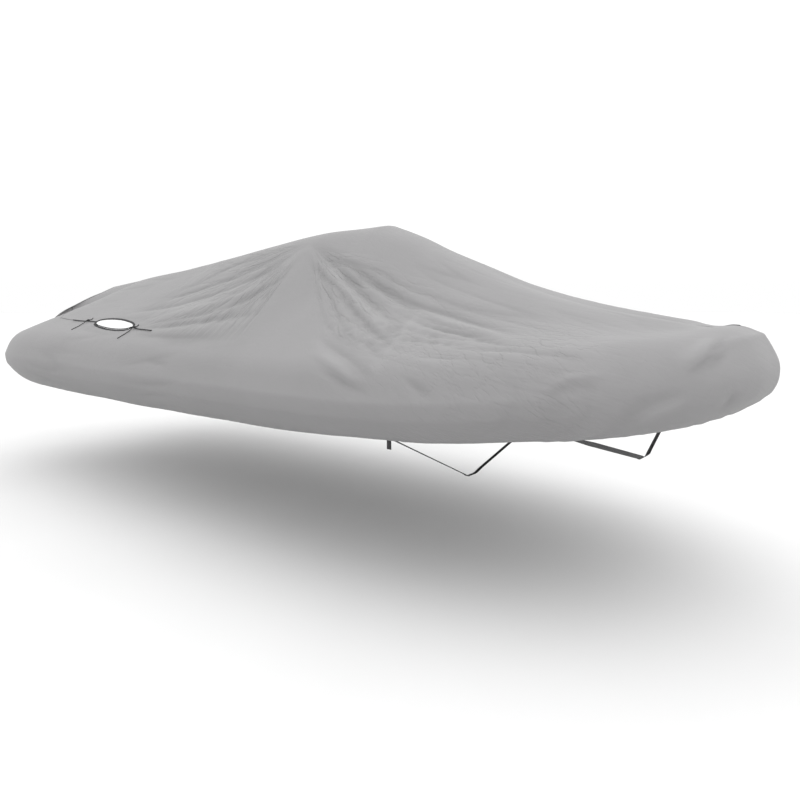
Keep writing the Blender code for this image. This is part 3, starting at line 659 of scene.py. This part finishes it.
def cloth_mesh(points, quads, maps):
    """Mesh of the points that the cells use, with a UV layer for each map."""
    used = np.unique(quads)
    renumber = np.full(len(points), -1)
    renumber[used] = np.arange(len(used))
    mesh = bpy.data.meshes.new("cover_sheet")
    mesh.from_pydata(points[used].tolist(), [], renumber[quads].tolist())
    for name, parts in maps.items():
        layer = mesh.uv_layers.new(name=name)
        layer.data.foreach_set("uv", np.concatenate(parts).reshape(-1).astype(np.float32))
    mesh.update()
    return mesh


def build_cloth(material):
    base = base_grid()
    edge = edge_sections(COLUMNS_PER_STEP)
    angle = wrap_angles(base.shape[:2], edge, section_bends(base, edge))
    folds = fold_lines(base.reshape(-1, 3))
    halves = {s: half_cloth(base, angle, s, folds) for s in (-1, 1)}
    grids = {s: halves[s]["grid"] for s in (-1, 1)}
    for k in (0, -1):
        middle = (grids[-1][k] + grids[1][k]) / 2.0
        grids[-1][k] = middle
        grids[1][k] = middle
    columns, rows = grids[-1].shape[:2]
    star = np.arange(columns * rows).reshape(columns, rows)
    port = star + columns * rows
    port[:, 0] = star[:, 0]
    port[0] = star[0]
    port[-1] = star[-1]
    x = grids[-1][:, SLIT_ROW, 0]
    rising = np.argmin(x)
    forward = np.arange(columns - 1) >= rising
    slack = OPENING_SLACK
    hole = forward & (x[:-1] >= LEG_OPENING_AFT - slack) & (x[1:] <= LEG_OPENING_FORE + slack)
    keep = np.ones((columns - 1, rows - 1), bool)
    keep[hole, SLIT_ROW] = False
    quads = []
    maps = {name: [] for name in cloth_maps(halves[-1], -1)}
    for side, index in ((-1, star), (1, port)):
        quads.append(np.stack([c[keep] for c in cell_corners(index, side)], 1))
        for name, pair in cloth_maps(halves[side], side).items():
            corners = cell_corners(np.stack(pair, 2), side)
            maps[name].append(np.stack([c[keep] for c in corners], 1))
    points = np.concatenate([grids[s].reshape(-1, 3) for s in (-1, 1)])
    mesh = cloth_mesh(points, np.concatenate(quads), maps)
    obj = put(bpy.data.objects.new("cover_sheet", mesh), material)
    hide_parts("cover_cloth")
    span = np.where(hole)[0]
    span = np.append(span, span[-1] + 1)
    openings = {s: (grids[s][span, SLIT_ROW], grids[s][span, SLIT_ROW + 1]) for s in (-1, 1)}
    slits = {s: grids[s][rising:, SLIT_ROW + 1] for s in (-1, 1)}
    hems = {s: grids[s][rising:, :-HEM_ROWS] for s in (-1, 1)}
    return obj, openings, slits, hems


def section_bends(base, edge):
    """Angle at which each section leaves the tube, found again from the plain grid."""
    first = base.shape[1] - WRAP_ROWS - 1
    out = edge_normals(edge)
    core = np.stack([edge["x"], edge["y"]], 1) - edge["radius"][:, None] * out
    level = ((base[:, first, :2] - core) * out).sum(1)
    return np.arctan2(base[:, first, 2] - edge["z"], level)


# ---------------------------------------------------------------- tapes, cords and webbing
BINDING_WIDTH = 0.016
BINDING_THICKNESS = 0.0012
CORD_DIAMETER = 0.008
CORD_LIFT = 0.0075
CORD_LIFT_AT_TIE = 0.0150
CORD_AFT = -3.10
CORD_FORE = -1.54
CORD_POINT_SPACING = 0.022
TIE_DIAMETER = 0.006
TIE_LIFT = 0.0042
TIE_PITCH = 0.0075
TIE_RISE_REACH = 0.035
TIE_COLUMNS = ("name", "x", "outboard", "out_slant", "inboard", "in_slant")
TIES = (
    ("aft", -2.75, 0.115, -0.060, 0.050, -0.035),
    ("fore", -1.82, 0.100, -0.070, 0.040, -0.030),
)
STRAP_COLUMNS = ("name", "x", "keel_x", "keel_z", "width", "cant")
STRAPS = (
    ("mid", 0.925, 0.70, -1.770, 0.025, 0),
    ("bow", 1.825, 1.88, -1.461, 0.038, 35),
)
STRAP_THICKNESS = 0.002
STRAP_LAP = 0.030
STRAP_CLEAR = 0.0045
STRAP_IN = STRAP_CLEAR + STRAP_THICKNESS / 2.0
KEEL_BEND = 0.04
TAIL_X = 0.893
TAIL_DROP = 0.050
TAIL_WIDTH = 0.028
LOOP_X = -3.30
LOOP_WIDTH = 0.038
LOOP_DROP = 0.022
LOOP_BEND = 0.005


def unit(v):
    v = np.asarray(v, float)
    return v / (np.linalg.norm(v, axis=-1, keepdims=True) + 1e-12)


def mesh_object(name, points, faces, uvs=None):
    mesh = bpy.data.meshes.new(name)
    mesh.from_pydata([tuple(p) for p in points], [], faces)
    if uvs is not None:
        layer = mesh.uv_layers.new(name="along")
        flat = [c for face in uvs for uv in face for c in uv]
        layer.data.foreach_set("uv", flat)
    mesh.validate()
    shape = bmesh.new()
    shape.from_mesh(mesh)
    bmesh.ops.recalc_face_normals(shape, faces=shape.faces)
    shape.to_mesh(mesh)
    shape.free()
    return bpy.data.objects.new(name, mesh)


def swept(name, line, first, second, profile, closed=False):
    """Profile points (along first, along second) carried along the line, with a length map."""
    line = np.asarray(line, float)
    count, ring = len(line), len(profile)
    points = np.concatenate(
        [line[i] + np.outer([p[0] for p in profile], first[i]) + np.outer([p[1] for p in profile], second[i])
         for i in range(count)]
    )
    step = np.linalg.norm(np.diff(line, axis=0), axis=1)
    at = np.concatenate(([0.0], np.cumsum(step)))
    girth = np.linalg.norm(np.diff(np.array(list(profile) + [profile[0]]), axis=0), axis=1)
    round_at = np.concatenate(([0.0], np.cumsum(girth)))
    faces, uvs = [], []
    last = count if closed else count - 1
    for i in range(last):
        a, b = i * ring, ((i + 1) % count) * ring
        u0, u1 = at[i], at[i] + np.linalg.norm(line[(i + 1) % count] - line[i])
        for n in range(ring):
            m = (n + 1) % ring
            faces.append([a + n, a + m, b + m, b + n])
            v0, v1 = round_at[n], round_at[n + 1]
            uvs.append([(u0, v0), (u0, v1), (u1, v1), (u1, v0)])
    if not closed:
        faces.append(list(range(ring))[::-1])
        uvs.append([(0.0, v) for v in round_at[:-1]][::-1])
        faces.append([(count - 1) * ring + n for n in range(ring)])
        uvs.append([(at[-1], v) for v in round_at[:-1]])
    return mesh_object(name, points, faces, uvs)


def refined(points, spacing):
    """Smooth line through the points, evenly spaced."""
    points = np.asarray(points, float)
    knots = np.concatenate(([0.0], np.cumsum(np.linalg.norm(np.diff(points, axis=0), axis=1))))
    want = np.linspace(0.0, knots[-1], max(int(knots[-1] / spacing), 8) + 1)
    slope = np.gradient(points, knots, axis=0)
    i = np.clip(np.searchsorted(knots, want, side="right") - 1, 0, len(knots) - 2)
    h = (knots[i + 1] - knots[i])[:, None]
    t = (want[:, None] - knots[i][:, None]) / h
    return cubic(t, h, points[i], points[i + 1], slope[i], slope[i + 1])


def tube_frames(line):
    along = unit(np.gradient(line, axis=0))
    first = np.zeros_like(line)
    start = np.array([0.0, 0.0, 1.0])
    if abs(along[0] @ start) > 0.9:
        start = np.array([1.0, 0.0, 0.0])
    current = start
    for i, way in enumerate(along):
        current = unit(current - (current @ way) * way)
        first[i] = current
    return first, np.cross(along, first)


def build_cord(name, points, diameter, material, replaced, spacing):
    line = refined(points, spacing)
    first, second = tube_frames(line)
    sides = 12
    ring = [
        (diameter / 2 * math.cos(a), diameter / 2 * math.sin(a))
        for a in np.linspace(0.0, 2.0 * math.pi, sides, endpoint=False)
    ]
    obj = put(swept(name, line, first, second, ring), material)
    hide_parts(replaced)
    return obj


def slit_at(line, x):
    return np.array([np.interp(x, line[:, 0], line[:, i]) for i in range(3)])


def cord_line(edge_line):
    count = int(round((CORD_FORE - CORD_AFT) / CORD_POINT_SPACING)) + 1
    line = np.array([slit_at(edge_line, x) for x in np.linspace(CORD_AFT, CORD_FORE, count)])
    lift = np.full(count, CORD_LIFT)
    for row in TIES:
        tie = dict(zip(TIE_COLUMNS, row))
        near = np.exp(-(((line[:, 0] - tie["x"]) / TIE_RISE_REACH) ** 2))
        lift += (CORD_LIFT_AT_TIE - CORD_LIFT) * near
    line[:, 2] += lift
    return line


def cloth_height(tree, x, y):
    return tree.ray_cast(Vector((x, y, 1.0)), Vector((0.0, 0.0, -1.0)))[0].z


def tie_line(cord, tree, tie, side):
    """A turn and a quarter round the cord, with a free end on the cloth to each side."""
    x = tie["x"]
    y, z = (np.interp(x, cord[:, 0], cord[:, i]) for i in (1, 2))
    turn = (CORD_DIAMETER + TIE_DIAMETER) / 2.0 + 0.0003
    points = []
    for share in np.linspace(1.0, 0.22, 9):
        px = x - TIE_PITCH / 2.0 + tie["out_slant"] * share
        py = y + side * (turn + tie["outboard"] * share)
        near = max(0.0, 1.0 - (share - 0.22) / 0.35)
        slope = 0.0018 * share
        points.append((px, py, cloth_height(tree, px, py) + TIE_LIFT + slope + 0.006 * near))
    steps = 16
    for n in range(steps + 1):
        angle = math.radians(50.0 + 440.0 * n / steps)
        px = x + TIE_PITCH * (n / steps - 0.5) * 1.25
        points.append((px, y + side * turn * math.cos(angle), z + turn * math.sin(angle)))
    for share in np.linspace(0.25, 1.0, 4):
        px = x + TIE_PITCH / 2.0 + tie["in_slant"] * share
        py = y - side * (turn + tie["inboard"] * share)
        near = max(0.0, 1.0 - (share - 0.25) / 0.5)
        points.append((px, py, cloth_height(tree, px, py) + TIE_LIFT + 0.004 * near))
    return points


def build_slit_cords(cloth, slits, material):
    points = [v.co.copy() for v in cloth.data.vertices]
    tree = BVHTree.FromPolygons(points, [tuple(f.vertices) for f in cloth.data.polygons])
    for side, side_name in ((-1, "starboard"), (1, "port")):
        cord = cord_line(slits[side])
        name = "slit_cord_" + side_name
        build_cord("laid_" + name, cord, CORD_DIAMETER, material, name,
                   0.012)
        for row in TIES:
            tie = dict(zip(TIE_COLUMNS, row))
            name = "tie_" + tie["name"] + "_" + side_name
            line = tie_line(cord, tree, tie, side)
            build_cord("knotted_" + name, line, TIE_DIAMETER, material, name,
                       0.003)


def build_binding(name, opening, material, replaced):
    """Tape folded over the edge of one leg opening."""
    inner, outer = opening
    loop = np.concatenate([inner, outer[::-1]])
    centre = loop.mean(0)
    along = unit(np.roll(loop, -1, axis=0) - np.roll(loop, 1, axis=0))
    flat_up = unit(np.cross(inner[-1] - inner[0], centre - inner[len(inner) // 2]))
    flat_up = flat_up * np.sign(flat_up[2])
    out = unit(np.cross(along, np.tile(flat_up, (len(loop), 1))))
    out *= np.sign(((loop - centre) * out).sum(1))[:, None]
    up = unit(np.cross(out, along))
    up *= np.sign(up @ flat_up)[:, None]
    t, w = BINDING_THICKNESS, BINDING_WIDTH
    profile = [
        (w, 0.0014), (w, 0.0014 + t), (0.5 * w, 0.0020 + t), (0.0, 0.0012 + t), (-0.0016, 0.0008),
        (-0.0018, -0.0012), (0.0, -0.0022 - t), (w, -0.0020 - t), (w, -0.0020), (0.0006, -0.0018),
        (0.0004, 0.0012),
    ]
    obj = swept(name, loop, out, up, profile, closed=True)
    put(obj, material)
    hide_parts(replaced)


def hem_frame(hem, x):
    """Hem point, its line along the edge, the way down over the cloth, and the way in."""
    low = hem[:, -1]
    j = int(np.searchsorted(low[:, 0], x)) - 1
    share = (x - low[j, 0]) / (low[j + 1, 0] - low[j, 0])
    point = low[j] + (low[j + 1] - low[j]) * share
    above = hem[j, -4] + (hem[j + 1, -4] - hem[j, -4]) * share
    edge = unit(low[min(j + 4, len(low) - 1)] - low[max(j - 3, 0)])
    down = point - above
    down = unit(down - (down @ edge) * edge)
    inward = np.cross(edge, down)
    inward *= -np.sign(inward[1]) * np.sign(point[1])
    return point, edge, down, inward


def webbing_profile(width):
    half, t = width / 2.0, STRAP_THICKNESS / 2.0
    return [(-half, -t * 0.4), (-half + t, -t), (half - t, -t), (half, -t * 0.4),
            (half, t * 0.4), (half - t, t), (-half + t, t), (-half, t * 0.4)]


def ribbon(name, points, across, width, material, replaced):
    line = refined(points, 0.012)
    knots = np.concatenate(([0.0], np.cumsum(np.linalg.norm(np.diff(points, axis=0), axis=1))))
    want = np.linspace(0.0, knots[-1], len(line))
    across = np.stack([np.interp(want, knots, np.array(across)[:, i]) for i in range(3)], 1)
    along = unit(np.gradient(line, axis=0))
    across = unit(across - (across * along).sum(1)[:, None] * along)
    lift = np.cross(along, across)
    obj = put(swept(name, line, across, lift, webbing_profile(width)), material)
    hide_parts(replaced)
    return obj, line


def build_straps(hems, material):
    flip = np.array([1.0, -1.0, 1.0])
    tail = build_tail(hems[-1], material)
    for row in STRAPS:
        strap = dict(zip(STRAP_COLUMNS, row))
        point, edge, down, inward = hem_frame(hems[-1], strap["x"])
        keel = np.array([strap["keel_x"], 0.0, strap["keel_z"]])
        start = point + inward * STRAP_IN
        way = keel - start
        cant = math.radians(strap["cant"])
        flat = np.array([math.cos(cant), 0.0, math.sin(cant)])
        half = [start - down * STRAP_LAP, start - down * STRAP_LAP / 2.0, start]
        across = [edge, edge, edge]
        for share in (0.03, 0.07, 0.12, 0.2, 0.35, 0.5, 0.65, 0.8, 0.9):
            half.append(start + way * share)
            turned = min(share / 0.2, 1.0)
            across.append(edge * (1.0 - turned) + flat * turned)
        span = np.linalg.norm(way)
        for near in (KEEL_BEND, KEEL_BEND * 0.5):
            half.append(keel - way * near / span + np.array([0.0, 0.0, 0.35 * (KEEL_BEND - near)]))
            across.append(flat)
        bottom = keel + np.array([0.0, 0.0, 0.3 * KEEL_BEND])
        shift = hem_frame(hems[1], strap["x"])[0] - point * flip
        fade = [1.0, 1.0, 1.0, 0.9, 0.8, 0.7, 0.5, 0.3, 0.1, 0.0, 0.0, 0.0, 0.0, 0.0]
        port = [p * flip + shift * f for p, f in zip(half, fade)]
        points = np.array(half + [bottom] + port[::-1])
        across = across + [flat] + [a * flip for a in across[::-1]]
        name = "belly_strap_" + strap["name"]
        obj, line = ribbon("taut_" + name, points, across, strap["width"], material, name)


def build_tail(hem, material):
    point, edge, down, inward = hem_frame(hem, TAIL_X)
    start = point + inward * STRAP_IN
    points = [start - down * 0.025, start - down * 0.01, start + down * 0.004]
    for drop in (0.014, 0.03, TAIL_DROP):
        points.append(start + down * 0.006 + np.array([0.0, 0.0, -drop]))
    across = [edge] * len(points)
    return ribbon("hanging_strap_tail", np.array(points), across, TAIL_WIDTH, material, "strap_tail")[0]


def build_loops(hems, material):
    for side, side_name in ((-1, "starboard"), (1, "port")):
        point, edge, down, inward = hem_frame(hems[side], LOOP_X)
        start = point + inward * STRAP_IN
        points = [start - down * 0.025, start, start + down * (LOOP_DROP - LOOP_BEND)]
        for angle in (30, 60, 90, 120, 150):
            a = math.radians(angle)
            turn = inward * LOOP_BEND * (1.0 - math.cos(a)) + down * LOOP_BEND * math.sin(a)
            points.append(start + down * (LOOP_DROP - LOOP_BEND) + turn)
        back = start + inward * 2.0 * LOOP_BEND
        points += [back + down * (LOOP_DROP - LOOP_BEND), back, back - down * 0.02]
        name = "hem_loop_" + side_name
        ribbon("sewn_" + name, np.array(points), [edge] * len(points), LOOP_WIDTH, material, name)


# ---------------------------------------------------------------- materials
class Nodes:
    """Short way to place and join shader nodes."""

    def __init__(self, name):
        self.material = bpy.data.materials.new(name)
        self.material.use_nodes = True
        self.tree = self.material.node_tree
        self.shader = self.tree.nodes["Principled BSDF"]

    def add(self, kind, inputs=None, **settings):
        node = self.tree.nodes.new(kind)
        for key, value in settings.items():
            setattr(node, key, value)
        for key, value in (inputs or {}).items():
            socket = node.inputs[key]
            if isinstance(value, bpy.types.NodeSocket):
                self.tree.links.new(value, socket)
            else:
                socket.default_value = value
        return node

    def math(self, operation, a, b=0.0, c=None):
        inputs = {0: a, 1: b}
        if c is not None:
            inputs[2] = c
        return self.add("ShaderNodeMath", inputs, operation=operation).outputs[0]

    def times(self, a, b):
        return self.math("MULTIPLY", a, b)

    def plus(self, a, b):
        return self.math("ADD", a, b)

    def minus(self, a, b):
        return self.math("SUBTRACT", a, b)

    def sine(self, value, period):
        return self.math("SINE", self.times(value, 2 * math.pi / period))

    def uv(self, name):
        node = self.add("ShaderNodeUVMap", uv_map=name)
        split = self.add("ShaderNodeSeparateXYZ", {0: node.outputs[0]})
        return split.outputs[0], split.outputs[1]

    def noise(self, scale, detail=3.0, rough=0.5, vector=None):
        inputs = {"Scale": scale, "Detail": detail, "Roughness": rough}
        if vector is None:
            vector = self.add("ShaderNodeTexCoord").outputs["Object"]
        inputs["Vector"] = vector
        return self.add("ShaderNodeTexNoise", inputs).outputs["Fac"]

    def ramp(self, value, low, high, out_low=0.0, out_high=1.0):
        node = self.add(
            "ShaderNodeMapRange",
            {"Value": value, "From Min": low, "From Max": high, "To Min": out_low, "To Max": out_high},
        )
        return node.outputs[0]

    def mix(self, share, a, b):
        node = self.add("ShaderNodeMix", {0: share, 6: a, 7: b}, data_type="RGBA")
        return node.outputs[2]

    def bump(self, height, distance, strength=1.0, normal=None):
        inputs = {"Height": height, "Distance": distance, "Strength": strength}
        if normal is not None:
            inputs["Normal"] = normal
        return self.add("ShaderNodeBump", inputs).outputs[0]

    def link(self, socket, name):
        self.tree.links.new(socket, self.shader.inputs[name])


def weave(n, u, v, pitch):
    """Plain weave: threads over and under in a checker of rounded crossings."""
    k = math.pi / pitch
    across = n.math("SINE", n.times(u, k))
    along = n.math("SINE", n.times(v, k))
    return n.math("MULTIPLY_ADD", n.times(across, along), 0.5, 0.5)


def line_mask(n, value, centre, half):
    """1 on a line at centre, fading to 0 at half its breadth away."""
    away = n.math("ABSOLUTE", n.minus(value, centre))
    return n.ramp(away, half, half * 0.5)


CLOTH_COLOUR = (0.246, 0.243, 0.246, 1.0)
CLOTH_DARK = (0.228, 0.226, 0.228, 1.0)
CLOTH_LIGHT = (0.261, 0.257, 0.261, 1.0)
# Painted shade for the creases' valleys and painted highlight for their crests.
CREASE_SHADE_COLOUR = (0.165, 0.164, 0.166, 1.0)
CREST_HIGHLIGHT_COLOUR = (0.300, 0.297, 0.300, 1.0)
THREAD_COLOUR = (0.195, 0.195, 0.195, 1.0)
# Painted shade for the slit's gap and for the flap edge aft of it.
SLIT_SHADE_COLOUR = (0.060, 0.060, 0.062, 1.0)
WEBBING_TONES = ((0.008, 0.008, 0.009, 1.0), (0.024, 0.024, 0.026, 1.0))
WEBBING_DUST = (0.035, 0.034, 0.034, 1.0)
CORD_TONES = ((0.006, 0.006, 0.007, 1.0), (0.028, 0.028, 0.030, 1.0))
TAPE_TONES = ((0.009, 0.009, 0.010, 1.0), (0.026, 0.026, 0.028, 1.0))
FLOOR_TONES = ((0.72, 0.72, 0.72, 1.0), (0.75, 0.75, 0.75, 1.0))
THREAD_PITCH = 0.0007
HEM_STITCH = 0.022
STITCH_PITCH = 0.0045


def cloth_material():
    n = Nodes("woven_polyester")
    u, v = n.uv("weave")
    threads = weave(n, u, v, THREAD_PITCH)
    tone = n.mix(n.ramp(n.noise(1.4, 4.0), 0.3, 0.7), CLOTH_DARK, CLOTH_LIGHT)
    tone = n.mix(n.ramp(n.noise(22.0, 3.0), 0.35, 0.65, 0.35, 0.65), tone, CLOTH_COLOUR)
    tone = n.mix(n.ramp(threads, 0.0, 1.0, 0.10, 0.0), tone, THREAD_COLOUR)
    # Painted shade darkens the creases' valleys and painted highlight lightens their crests, by the crease
    # height.
    relief, _ = n.uv("relief")
    tone = n.mix(n.ramp(relief, -0.08, -1.0, 0.0, 0.45), tone, CREASE_SHADE_COLOUR)
    tone = n.mix(n.ramp(relief, 0.10, 1.0, 0.0, 0.45), tone, CREST_HIGHLIGHT_COLOUR)
    around, hem = n.uv("edge")
    stitch_row = line_mask(n, hem, HEM_STITCH, 0.0012)
    dash = n.ramp(n.sine(around, STITCH_PITCH), -0.5, -0.1)
    stitch = n.times(stitch_row, dash)
    tone = n.mix(n.times(stitch, 0.6), tone, THREAD_COLOUR)
    # Darker, mottled strip along the hem's edge and over its turned-in part.
    hem_edge_darkening = n.ramp(hem, 0.0, 0.012, 0.35, 0.0)
    tone = n.mix(n.times(hem_edge_darkening, n.noise(60.0)), tone, THREAD_COLOUR)
    # Painted shade: a dark line along the slit's gap between the two flaps.
    slit_x, from_slit = n.uv("slit")
    along = n.times(
        n.ramp(slit_x, SLIT_AFT - 0.02, SLIT_AFT),
        n.ramp(slit_x, SLIT_FORE, SLIT_FORE - 0.06),
    )
    gap = n.times(line_mask(n, from_slit, 0.006, 0.006), along)
    tone = n.mix(n.times(gap, 0.85), tone, SLIT_SHADE_COLOUR)
    # Painted shade along the flap edge, aft of the slit.
    tone = n.mix(n.times(flap_edge_shade(n), 0.6), tone, SLIT_SHADE_COLOUR)
    n.link(tone, "Base Color")
    n.shader.inputs["Roughness"].default_value = 0.78
    n.shader.inputs["Specular IOR Level"].default_value = 0.35
    n.shader.inputs["Sheen Weight"].default_value = 0.12
    n.shader.inputs["Sheen Roughness"].default_value = 0.5
    normal = n.bump(fine_creases(n), 0.0040, 1.0)
    normal = n.bump(n.noise(38.0, 3.0), 0.0012, 0.5, normal)
    hem_band = n.ramp(hem, 0.027, 0.025)
    normal = n.bump(n.minus(hem_band, stitch), 0.0012, 0.9, normal)
    normal = n.bump(threads, 0.00012, 0.6, normal)
    n.link(normal, "Normal")
    return n.material


def valleys(n, u, v, scale, breadth=0.07):
    """Narrow dips along the winding lines where stretched noise crosses its middle."""
    place = n.add("ShaderNodeCombineXYZ", {0: u, 1: v}).outputs[0]
    off = n.math("ABSOLUTE", n.minus(n.noise(scale, 3.0, 0.5, place), 0.5))
    return n.ramp(off, 0.0, breadth)


def fine_creases(n):
    """Creases too small for the mesh: drawn out from the peak, and running fore and aft."""
    turn, reach = n.uv("grain")
    fan, slack = n.uv("share")
    x, over = n.uv("weave")
    fanned = n.times(valleys(n, turn, n.times(reach, 0.30), 9.0), fan)
    lanes = valleys(n, n.times(x, 0.16), over, 10.0)
    lean = n.plus(over, n.times(x, 0.45))
    slanting = valleys(n, n.times(x, 0.60), lean, 11.0, 0.06)
    patches = n.ramp(n.noise(1.5, 2.0), 0.42, 0.62)
    both = n.plus(n.times(lanes, 0.5), n.times(slanting, patches))
    rest = n.times(n.times(both, slack), n.ramp(fan, 0.0, 0.8, 0.8, 0.2))
    return n.plus(fanned, rest)


def flap_edge_shade(n):
    """Painted shade: thin dark line along the flap edge, from the slit's aft end in to the stern edge."""
    split = n.add("ShaderNodeSeparateXYZ", {0: n.add("ShaderNodeTexCoord").outputs["Object"]})
    x, y = split.outputs[0], n.math("ABSOLUTE", split.outputs[1])
    (x0, y0), (x1, y1) = FLAP_EDGE_LINE
    length = math.hypot(x1 - x0, y1 - y0)
    ax, ay = (x1 - x0) / length, (y1 - y0) / length
    dx, dy = n.minus(x, x0), n.minus(y, y0)
    along = n.plus(n.times(dx, ax), n.times(dy, ay))
    aside = n.minus(n.times(dx, ay), n.times(dy, ax))
    on_line = n.ramp(n.math("ABSOLUTE", aside), 0.006, 0.003)
    within = n.times(n.ramp(along, -0.01, 0.0), n.ramp(along, length + 0.01, length))
    top = n.ramp(split.outputs[2], -0.98, -0.95)
    return n.times(n.times(on_line, within), top)


def webbing_material():
    n = Nodes("black_webbing_weave")
    u, v = n.uv("along")
    ribs = n.sine(u, 0.0022)
    slant = n.sine(n.plus(u, v), 0.0031)
    height = n.math("MULTIPLY_ADD", n.times(ribs, slant), 0.5, 0.5)
    tone = n.mix(n.ramp(height, 0.0, 1.0), *WEBBING_TONES)
    tone = n.mix(n.ramp(n.noise(30.0), 0.4, 0.7, 0.0, 0.4), tone, WEBBING_DUST)
    n.link(tone, "Base Color")
    n.shader.inputs["Roughness"].default_value = 0.62
    n.shader.inputs["Sheen Weight"].default_value = 0.08
    n.link(n.bump(height, 0.0004, 0.8), "Normal")
    return n.material


def cord_material():
    n = Nodes("black_braid")
    u, v = n.uv("along")
    one = n.sine(n.plus(u, v), 0.0042)
    other = n.sine(n.minus(u, v), 0.0042)
    height = n.math("MAXIMUM", one, other)
    tone = n.mix(n.ramp(height, -0.2, 1.0), *CORD_TONES)
    n.link(tone, "Base Color")
    n.shader.inputs["Roughness"].default_value = 0.7
    n.link(n.bump(height, 0.0005, 0.8), "Normal")
    return n.material


def binding_material():
    n = Nodes("black_tape")
    u, v = n.uv("along")
    height = weave(n, u, v, 0.0009)
    tone = n.mix(n.ramp(height, 0.0, 1.0), *TAPE_TONES)
    n.link(tone, "Base Color")
    n.shader.inputs["Roughness"].default_value = 0.75
    n.link(n.bump(height, 0.0002, 0.7), "Normal")
    return n.material


# ---------------------------------------------------------------- studio
GROUND_Z = -2.148
EYE = (3.07, -3.73, -0.543)
LOOK = (-0.625, 0.781, 0.0)
LENS_MM = 28.8
SHIFT_Y = -0.1275
SENSOR_MM = 36.0
FLOOR_RADIUS = 70.0
FLOOR_SIDES = 96
KEY_PLACE = (4.5, -1.5, 5.5)
KEY_AIM = (-0.3, -0.2, -0.6)
KEY_SIZE = 7.0
KEY_POWER = 110.0
SKY_LOW = 1.0
SKY_HIGH = 1.70


def build_studio():
    scene = bpy.context.scene
    scene.view_settings.view_transform = "Standard"
    camera = bpy.data.cameras.new("camera")
    camera.lens = LENS_MM
    camera.sensor_width = SENSOR_MM
    camera.shift_y = SHIFT_Y
    camera.clip_end = 500.0
    eye = bpy.data.objects.new("camera", camera)
    eye.location = EYE
    eye.rotation_euler = Vector(LOOK).to_track_quat("-Z", "Y").to_euler()
    scene.collection.objects.link(eye)
    scene.camera = eye
    floor = mesh_object("studio_floor", disc_points(FLOOR_RADIUS, FLOOR_SIDES), [list(range(FLOOR_SIDES))])
    scene.collection.objects.link(floor)
    n = Nodes("pale_floor")
    tone = n.mix(n.ramp(n.noise(0.5), 0.3, 0.7), *FLOOR_TONES)
    n.link(tone, "Base Color")
    n.shader.inputs["Roughness"].default_value = 0.95
    floor.data.materials.append(n.material)
    build_sky(scene)
    key = bpy.data.lights.new("soft_key", "AREA")
    key.shape = "DISK"
    key.size = KEY_SIZE
    key.energy = KEY_POWER
    lamp = bpy.data.objects.new("soft_key", key)
    lamp.location = KEY_PLACE
    lamp.rotation_euler = (Vector(KEY_AIM) - lamp.location).to_track_quat("-Z", "Y").to_euler()
    scene.collection.objects.link(lamp)


def disc_points(radius, count):
    return [
        (radius * math.cos(a), radius * math.sin(a), GROUND_Z)
        for a in np.linspace(0.0, 2.0 * math.pi, count, endpoint=False)
    ]


def build_sky(scene):
    world = bpy.data.worlds.new("soft_sky")
    world.use_nodes = True
    scene.world = world
    tree = world.node_tree
    coords = tree.nodes.new("ShaderNodeTexCoord")
    split = tree.nodes.new("ShaderNodeSeparateXYZ")
    bright = tree.nodes.new("ShaderNodeMapRange")
    bright.inputs["From Min"].default_value = 0.02
    bright.inputs["From Max"].default_value = 1.0
    bright.inputs["To Min"].default_value = SKY_LOW
    bright.inputs["To Max"].default_value = SKY_HIGH
    tree.links.new(coords.outputs["Generated"], split.inputs[0])
    tree.links.new(split.outputs[2], bright.inputs["Value"])
    tree.links.new(bright.outputs[0], tree.nodes["Background"].inputs["Strength"])
    tree.nodes["Background"].inputs["Color"].default_value = (1.0, 1.0, 1.0, 1.0)


def main():
    build_studio()
    cloth, openings, slits, hems = build_cloth(cloth_material())
    tape = binding_material()
    for side, side_name in ((-1, "starboard"), (1, "port")):
        name = "opening_binding_" + side_name
        build_binding("folded_" + name, openings[side], tape, name)
    build_slit_cords(cloth, slits, cord_material())
    webbing = webbing_material()
    build_straps(hems, webbing)
    build_loops(hems, webbing)


main()
